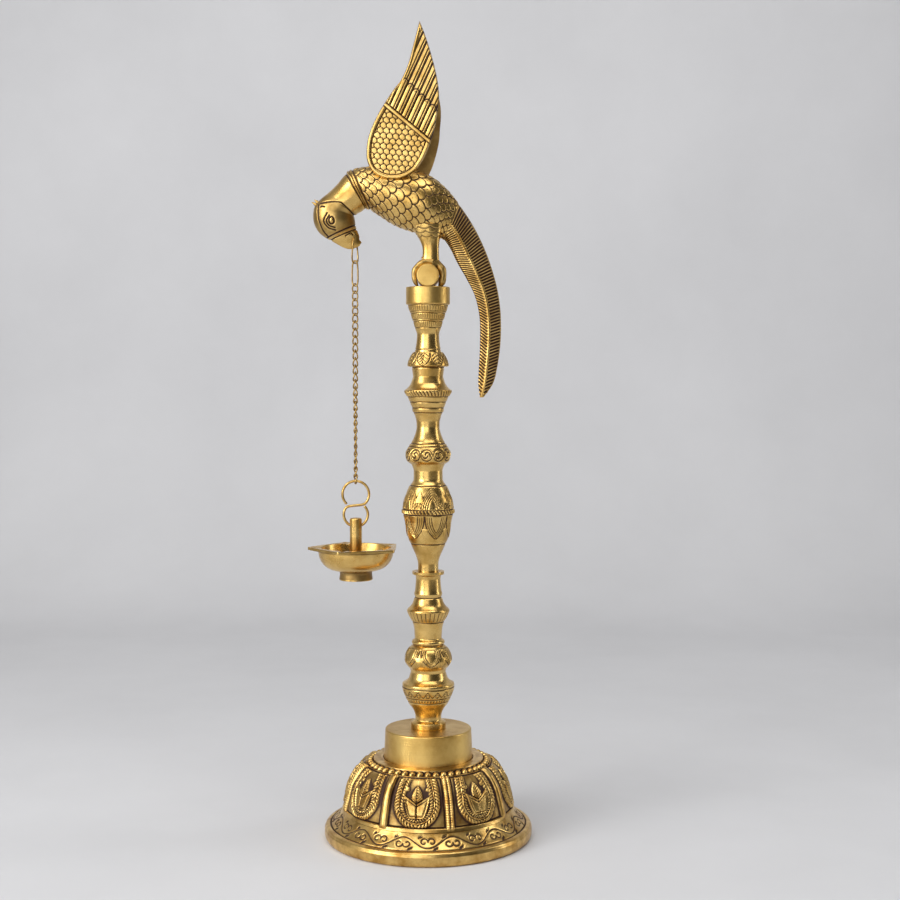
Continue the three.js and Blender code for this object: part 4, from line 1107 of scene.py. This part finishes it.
WIRE_GAP = 0.5
LINK_WIRE = 0.6
BEAK_LINK = 19
LONG_LINK = 18.7
LINK_DRAWN = 0.58
CHAIN_WIRE = 0.55
CHAIN_DRAWN = 0.56
CHAIN_WIDTH = 3.9
CHAIN_TWIST = 45
CHAIN_FIRST_YAW = 8
CHAIN_YAW_STEP = 4
CHAIN_PITCH = 5.5
CHAIN_COUNT = 27
CHAIN_RUNS = ("chain_upper", "chain_middle", "chain_lower")
HOOK_WIRE = 1.0
HOOK_UPPER = 10.0
HOOK_LOWER = 9.1
HOOK_DROP = 15.4
HOOK_STEPS = 190
POST_RADIUS = 4.6
POST_BORE = 1.9
BEAK_TOP = PERCH_Z + BEAK_HOLE[1] - 1.1 + WIRE_GAP + 0.7
LONG_TOP = BEAK_TOP - BEAK_LINK + 2 * LINK_WIRE + WIRE_GAP
CHAIN_TOP = LONG_TOP - LONG_LINK + LINK_WIRE + CHAIN_WIRE + WIRE_GAP
CHAIN_LINK = CHAIN_PITCH + 2 * CHAIN_WIRE + WIRE_GAP
LAST_LINK = CHAIN_TOP - CHAIN_COUNT * CHAIN_PITCH + CHAIN_PITCH - CHAIN_LINK
HOOK_Z = LAST_LINK + CHAIN_WIRE + HOOK_WIRE + WIRE_GAP - HOOK_UPPER
HOOK_SEAT = HOOK_Z - HOOK_DROP - math.sqrt(HOOK_LOWER**2 - POST_RADIUS**2)
POST_Z = HOOK_SEAT + HOOK_WIRE + WIRE_GAP - POST_BORE


def link_shell(top, length, widths, yaws, bow, wire, steps, sides):
    """A bent wire ring: a squared circle whose width and plane change from low end to top."""
    low_width, top_width = widths
    low_yaw, top_yaw = yaws
    turn = np.linspace(0, 2 * np.pi, 900, endpoint=False)
    share = (1 + np.sign(np.sin(turn)) * np.abs(np.sin(turn)) ** bow) / 2
    half = (low_width + (top_width - low_width) * share) / 2
    out = half * np.sign(np.cos(turn)) * np.abs(np.cos(turn)) ** bow
    yaw = np.radians(low_yaw + (top_yaw - low_yaw) * share)
    path = grid(out * np.cos(yaw), out * np.sin(yaw), (share - 1) * length)
    path = even(path, steps, closed=True)
    path = (np.roll(path, 1, axis=0) + 2 * path + np.roll(path, -1, axis=0)) / 4
    yaw = np.radians(low_yaw + (top_yaw - low_yaw) * (1 + path[:, 2] / length))
    across = grid(-np.sin(yaw), np.cos(yaw), 0)
    return tube(path + [HANG_X, 0, top], wire, across, sides, closed=True, patina_and_shade=0.42)


def make_chain():
    """The two long wire links and the three runs of the curb chain."""
    long_wire = {"bow": 0.6, "wire": LINK_DRAWN, "steps": 96, "sides": 14}
    beak = link_shell(BEAK_TOP, BEAK_LINK, widths=(8.4, 9.8), yaws=(56, 82), **long_wire)
    piece("beak_wire_ring", [beak], "drawn_brass_wire", "beak_link", ["beak_link"])
    long = link_shell(LONG_TOP, LONG_LINK, widths=(4.6, 4.6), yaws=(-8, -28), **long_wire)
    piece("long_wire_ring", [long], "drawn_brass_wire", "long_link", ["long_link"])
    run = CHAIN_COUNT // len(CHAIN_RUNS)
    for first, body in zip(range(0, CHAIN_COUNT, run), CHAIN_RUNS):
        links = []
        for number in range(first, first + run):
            top = CHAIN_TOP - CHAIN_PITCH * number
            yaw = CHAIN_FIRST_YAW + CHAIN_YAW_STEP * number
            yaws = yaw - CHAIN_TWIST, yaw + CHAIN_TWIST
            links.append(link_shell(top, CHAIN_LINK, (CHAIN_WIDTH, CHAIN_WIDTH), yaws,
                                    bow=0.8, wire=CHAIN_DRAWN, steps=44, sides=10))
        nodes = [f"chain_link_{number + 1:02d}" for number in range(first, first + run)]
        piece(f"curb_{body}", links, "drawn_brass_wire", body, nodes)


def make_hook():
    """One wire through two open rings: an arc about the upper centre, an arc about the lower one,
    and between them a slanting neck, the cubic that meets both arcs in their own directions."""
    upper = np.radians(np.linspace(228, -40, 300))
    lower = np.radians(np.linspace(150, 406, 300))
    first = grid(HOOK_UPPER * np.cos(upper), 0, HOOK_UPPER * np.sin(upper))
    second = grid(HOOK_LOWER * np.cos(lower), 0, HOOK_LOWER * np.sin(lower) - HOOK_DROP)
    start = np.array([np.sin(upper[-1]), 0, -np.cos(upper[-1])])
    end = np.array([-np.sin(lower[0]), 0, np.cos(lower[0])])
    t = np.linspace(0, 1, 80)[1:-1, None]
    neck = ((2 * t**3 - 3 * t**2 + 1) * first[-1] + (3 * t**2 - 2 * t**3) * second[0]
            + 12 * ((t**3 - 2 * t**2 + t) * start + (t**3 - t**2) * end))
    path = even(np.vstack([first, neck, second]), HOOK_STEPS) + [HANG_X, 0, HOOK_Z]
    ends = np.minimum(np.arange(HOOK_STEPS), np.arange(HOOK_STEPS)[::-1])
    radius = HOOK_WIRE * np.sqrt(np.clip((ends + 0.6) / 1.6, 0, 1))
    hook = tube(path, radius, (0, 1, 0), sides=18, patina_and_shade=0.15)
    piece("wire_s_hook", [hook], "drawn_brass_wire", "s_hook", ["s_hook"])


# Oil bowl on its post. Points hold radius and height over the bowl's floor; a lip's row holds the
# share of the way from the wall to the star, and the drop below the rim.

BOWL_DROP = 32
BOWL_WALL = 28.4
BOWL_TIP = 36.6
LIP_INNER = 27.2
STAR_SIDE = 30.0
WICKS = 5
BOWL_OUTSIDE = [
    (5.2, -2.5), (10.1, -2.5), (10.1, -9.0), (10.4, -9.2), (12.3, -9.2), (12.7, -8.8),
    (12.55, -7.6), (12.1, -4.6), (12.3, -3.2), (13.4, -2.3), (16.5, -1.7), (19.6, -0.8),
    (22.4, 0.8), (24.8, 3.0), (26.5, 5.5), (27.6, 8.1), (28.1, 10.0), (28.3, 12.0), (BOWL_WALL, 13.2),
]
LIP_UNDER = [(0.15, 2.35), (0.5, 2.3), (0.9, 2.25), (1.0, 2.1), (1.0, 0.3), (0.985, 0.05)]
LIP_OVER = [(0.9, 0), (0.6, 0), (0.3, 0)]
BOWL_RIM = 15.7
BOWL_INSIDE = [
    (27.0, 15.65), (26.7, 15.2), (26.3, 12.9), (25.6, 9.8), (24.2, 6.5), (22.3, 4.1), (19.8, 2.2),
    (16.8, 0.9), (13.5, 0.2), (9.5, 0.0), (5.2, 0.0),
]
POST_FOOT = 38.7
POST_ROWS = [
    (2.3, 0), (2.3, 6.7), (5.4, 0.02), (5.3, 0.6), (4.5, 6.6, -0.5), (4.2, 1.0), (4.55, 0.4),
    (POST_RADIUS, 28.2), (4.0, 0.75), (3.5, 0.1), (0.4, -0.7, 0.1),
]


def bowl_shell():
    """A bowl with a star lip: every point of the section is a radius and a height, and the lip's
    radius grows with the 2.2 power of the angle from the middle of a side towards a spout."""
    facets = 360
    angle = full_turn(facets)
    part = np.abs(cell(angle - np.pi, WICKS)) * 2
    star = STAR_SIDE + (BOWL_TIP - STAR_SIDE) * (1 - part) ** 2.2
    soften = np.exp(-0.5 * (np.fft.fftfreq(facets) * 5) ** 2)
    star = np.real(np.fft.ifft(np.fft.fft(star) * soften))
    plain = 0 * angle
    section = [(plain + r, plain + z) for r, z in BOWL_OUTSIDE]
    for wall, rows in ((BOWL_WALL, LIP_UNDER), (LIP_INNER, LIP_OVER)):
        section += [(wall + (star - wall) * share, plain + BOWL_RIM - drop) for share, drop in rows]
    section += [(plain + r, plain + z) for r, z in BOWL_INSIDE]
    section = np.array(section)
    fine = np.linspace(0, len(section) - 1, 3 * len(section))
    low = np.floor(fine).astype(int).clip(0, len(section) - 2)
    share = (fine - low)[:, None, None]
    section = section[low] * (1 - share) + section[low + 1] * share
    radius, height = section[:, 0], section[:, 1]
    groove = ridge(radius * np.sin(np.radians(180 / WICKS * part)), 1.9) * smooth(36 - radius, 0, 4)
    on_top = smooth(height, 12.9, 14.8) * smooth(radius, 25.6, 27.5)
    height = height - on_top * groove * smooth(1 - part, 0.5, 0.8)
    # Painted shade: fixed darkening on the underside and inner wall of the foot, on its outside and
    # the groove above it, and under the lip's flange
    shade = np.zeros((len(fine), 1))
    shade[fine < 3] = 0.7
    shade[(fine > 5.5) & (fine < 9)] = 0.55
    shade[(fine > 17.5) & (fine < 22)] = 0.5
    x = HANG_X + radius * np.cos(angle)
    points = grid(x, radius * np.sin(angle), POST_Z - BOWL_DROP + height)
    return shell(points, shade, loop=True)


def make_bowl():
    """The bowl and its turned post, whose cross hole is cut by a round bar."""
    piece("star_lip_bowl", [bowl_shell()], "polished_cast_brass", "bowl", ["oil_bowl"],
          crease=40)
    path = outline_of(POST_ROWS, spacing=0.35, soften=0.16) + [0, -POST_FOOT]
    body = turned(path, [], facets=64, floor=POST_Z, axis_x=HANG_X)
    post = piece("bowl_post_turned", [body], "polished_cast_brass", "bowl", ["bowl_post"],
                 crease=35)
    bar = grid(HANG_X + np.array([-8, 0, 8]), 0, POST_Z)
    points, quads, fans, _ = tube(bar, POST_BORE, (0, 1, 0), sides=32)
    cutter = mesh_object("bore", points, quads.tolist() + fans.tolist())
    cut = post.modifiers.new("bore", "BOOLEAN")
    cut.operation = "DIFFERENCE"
    cut.object = cutter
    graph = bpy.context.evaluated_depsgraph_get()
    drilled = bpy.data.meshes.new_from_object(post.evaluated_get(graph))
    if len(drilled.polygons) < len(post.data.polygons) / 2:
        raise RuntimeError("the post's cross hole was not cut")
    post.modifiers.clear()
    post.data = drilled
    bpy.data.objects.remove(cutter)


def make_hidden_fixings():
    """Steel for the tie rod with its washer and nut, brass for the post's nut."""
    for name, look in (("tie_rod", "zinc_plated_steel"), ("tie_washer", "zinc_plated_steel"),
                       ("tie_nut", "zinc_plated_steel"), ("post_nut", "polished_cast_brass")):
        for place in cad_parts[name].material_slots:
            place.material = finish(look)


# Stage: a pale sweep, soft lamps and the camera

SWEEP_WIDE = 5000
SWEEP_BEND_AT = 900
SWEEP_BEND = 380
SWEEP_HIGH = 2600
LIGHT_AIM = np.array([0.0, 0.0, 0.3])
CAMERA_PLACE = (0.02245, -1.0985, 0.3473)
CAMERA_TILT = 2.8
CAMERA_LENS = 58.4


def make_stage():
    """The sweep, a floor that bends up into a wall; four soft lamps, the room's light and the
    camera."""
    look = bpy.context.scene.lamp_stage
    bend = np.linspace(0.1, 1, 16) * np.pi / 2
    wall = SWEEP_BEND_AT + SWEEP_BEND
    run = np.concatenate([np.linspace(-SWEEP_WIDE, SWEEP_BEND_AT, 50),
                          SWEEP_BEND_AT + SWEEP_BEND * np.sin(bend), np.full(12, wall)])
    up = np.concatenate([np.zeros(50), SWEEP_BEND * (1 - np.cos(bend)),
                         np.linspace(500, SWEEP_HIGH, 12)])
    across = np.linspace(-SWEEP_WIDE, SWEEP_WIDE, 40)
    vertices, quads, _, _ = shell(grid(across[None], run[:, None], up[:, None]), ring=False)
    sweep = mesh_object("sweep", vertices, quads.tolist())
    sweep.data.shade_smooth()
    sweep.data.materials.append(plaster("matt_painted_board", look.board))

    for name, place, size, power in (
        ("window_light", (-1.45, -1.05, 0.95), (0.9, 1.5), look.window),
        ("sky_light", (0.1, -0.5, 1.9), (1.6, 1.2), look.sky),
        ("edge_light", (1.5, 0.1, 0.7), (0.35, 1.3), look.edge),
        ("front_light", (-0.5, -2.1, 0.75), (1.3, 1.3), look.front),
    ):
        data = bpy.data.lights.new(name, "AREA")
        data.shape = "RECTANGLE"
        data.size, data.size_y = size
        data.energy = power
        lamp = placed(name, data)
        lamp.location = place
        aim = LIGHT_AIM - np.array(place)
        tilt = math.atan2(math.hypot(aim[0], aim[1]), -aim[2])
        lamp.rotation_euler = Euler((tilt, 0, math.atan2(aim[1], aim[0]) - math.pi / 2))

    world = bpy.data.worlds.new("studio")
    bpy.context.scene.world = world
    world.use_nodes = True
    tree = world.node_tree
    tree.nodes.clear()
    way = node(tree, "ShaderNodeTexCoord").outputs["Generated"]
    spot = node(tree, "ShaderNodeSeparateXYZ", {}, {"Vector": way})
    tone = node(tree, "ShaderNodeMapRange",
                {"From Min": -0.7, "From Max": 0.45, "To Min": look.room_left,
                 "To Max": look.room_right}, {"Value": spot})
    back = node(tree, "ShaderNodeBackground", {"Color": (*look.room, 1)}, {"Strength": tone})
    node(tree, "ShaderNodeOutputWorld", {}, {"Surface": back})

    data = bpy.data.cameras.new("camera")
    data.sensor_width = 36
    data.lens = CAMERA_LENS
    camera = placed("camera", data)
    camera.location = CAMERA_PLACE
    camera.rotation_euler = (math.radians(90 - CAMERA_TILT), 0, 0)
    bpy.context.scene.camera = camera
    bpy.context.scene.view_settings.view_transform = "Standard"


# Settings, operators and panel


def colour_setting(name, description, code):
    """A colour for the panel, given as sRGB hex code."""
    return FloatVectorProperty(name=name, description=description, default=linear(code),
                               subtype="COLOR", min=0, max=1)


def power_setting(name, description, watts):
    """A lamp's power for the panel."""
    return FloatProperty(name=name, description=description, default=watts, unit="POWER", min=0)


def level_setting(name, description, level):
    """A brightness for the panel."""
    return FloatProperty(name=name, description=description, default=level, subtype="FACTOR", min=0)


class LampFinish(bpy.types.PropertyGroup):
    """Colours that the metal finishes start from"""

    bright: colour_setting("Bright brass", "Brass on rubbed high spots", "#E3BE74")
    deep: colour_setting("Deep brass", "Brass in duller patches", "#C39A50")
    stained: colour_setting("Stained brass", "Antiqued brass in duller patches", "#B08440")
    satin: colour_setting("Satin brass", "Brass left as turned", "#DDBB70")
    # Brown of the patina, also used for painted shade
    patina_shade_brown: colour_setting("Patina", "Brown patina in the carving", "#3A2110")
    steel: colour_setting("Zinc", "Plated rod, washer and nut", "#B9BDC2")


class LampStage(bpy.types.PropertyGroup):
    """Backdrop, lamps and room"""

    board: colour_setting("Board", "Painted sweep under and behind the lamp", "#D2D2D4")
    window: power_setting("Window light", "Soft light from the left", 26)
    sky: power_setting("Sky light", "Soft light from above", 17)
    edge: power_setting("Edge light", "Narrow light from the right", 5)
    front: power_setting("Front light", "Faint light from the front", 11)
    room: colour_setting("Room", "Tint of the room's light", "#FFFEFC")
    room_left: level_setting("Room, left", "Brightness of the room on the left", 0.42)
    room_right: level_setting("Room, right", "Brightness of the room on the right", 0.05)


class LAMP_OT_base(bpy.types.Operator):
    """Cast bell base with its flange, and the turned drum on it"""

    bl_idname = "lamp.base"
    bl_label = "Base and drum"

    def execute(self, context):
        make_base()
        return {"FINISHED"}


class LAMP_OT_stem(bpy.types.Operator):
    """Five stem sections, the perch cap and the perch bar"""

    bl_idname = "lamp.stem"
    bl_label = "Stem and perch"

    def execute(self, context):
        make_stem()
        return {"FINISHED"}


class LAMP_OT_parrot(bpy.types.Operator):
    """Parrot: head, torso, tail, legs, claws and crest"""

    bl_idname = "lamp.parrot"
    bl_label = "Parrot"

    def execute(self, context):
        make_parrot()
        return {"FINISHED"}


class LAMP_OT_wings(bpy.types.Operator):
    """Two raised wings"""

    bl_idname = "lamp.wings"
    bl_label = "Wings"

    def execute(self, context):
        make_wings()
        return {"FINISHED"}


class LAMP_OT_chain(bpy.types.Operator):
    """Wire links, curb chain and S hook"""

    bl_idname = "lamp.chain"
    bl_label = "Chain and hook"

    def execute(self, context):
        make_chain()
        make_hook()
        return {"FINISHED"}


class LAMP_OT_bowl(bpy.types.Operator):
    """Oil bowl with its post"""

    bl_idname = "lamp.bowl"
    bl_label = "Oil bowl"

    def execute(self, context):
        make_bowl()
        return {"FINISHED"}


class LAMP_OT_fixings(bpy.types.Operator):
    """Finishes for the hidden rod, washer and nuts"""

    bl_idname = "lamp.fixings"
    bl_label = "Hidden fixings"

    def execute(self, context):
        make_hidden_fixings()
        return {"FINISHED"}


class LAMP_OT_stage(bpy.types.Operator):
    """Pale sweep, soft lamps and camera"""

    bl_idname = "lamp.stage"
    bl_label = "Stage"

    def execute(self, context):
        make_stage()
        return {"FINISHED"}


class LAMP_PT_panel(bpy.types.Panel):
    """Settings and build steps of the lamp"""

    bl_idname = "LAMP_PT_panel"
    bl_label = "Parrot Lamp"
    bl_space_type = "VIEW_3D"
    bl_region_type = "UI"
    bl_category = "Parrot Lamp"

    def draw(self, context):
        for group in (context.scene.lamp_finish, context.scene.lamp_stage):
            for name in group.__annotations__:
                self.layout.prop(group, name)
        for operator in OPERATORS:
            self.layout.operator(operator.bl_idname)


OPERATORS = (
    LAMP_OT_stage, LAMP_OT_base, LAMP_OT_stem, LAMP_OT_parrot, LAMP_OT_wings, LAMP_OT_chain,
    LAMP_OT_bowl, LAMP_OT_fixings,
)
CLASSES = (LampFinish, LampStage, *OPERATORS, LAMP_PT_panel)


def register():
    for made in CLASSES:
        bpy.utils.register_class(made)
    bpy.types.Scene.lamp_finish = PointerProperty(type=LampFinish)
    bpy.types.Scene.lamp_stage = PointerProperty(type=LampStage)


def unregister():
    del bpy.types.Scene.lamp_stage
    del bpy.types.Scene.lamp_finish
    for made in reversed(CLASSES):
        bpy.utils.unregister_class(made)


def main():
    """Runs the build steps in order."""
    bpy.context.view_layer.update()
    register()
    for operator in OPERATORS:
        group, name = operator.bl_idname.split(".")
        getattr(getattr(bpy.ops, group), name)()


if __name__ == "__main__":
    main()
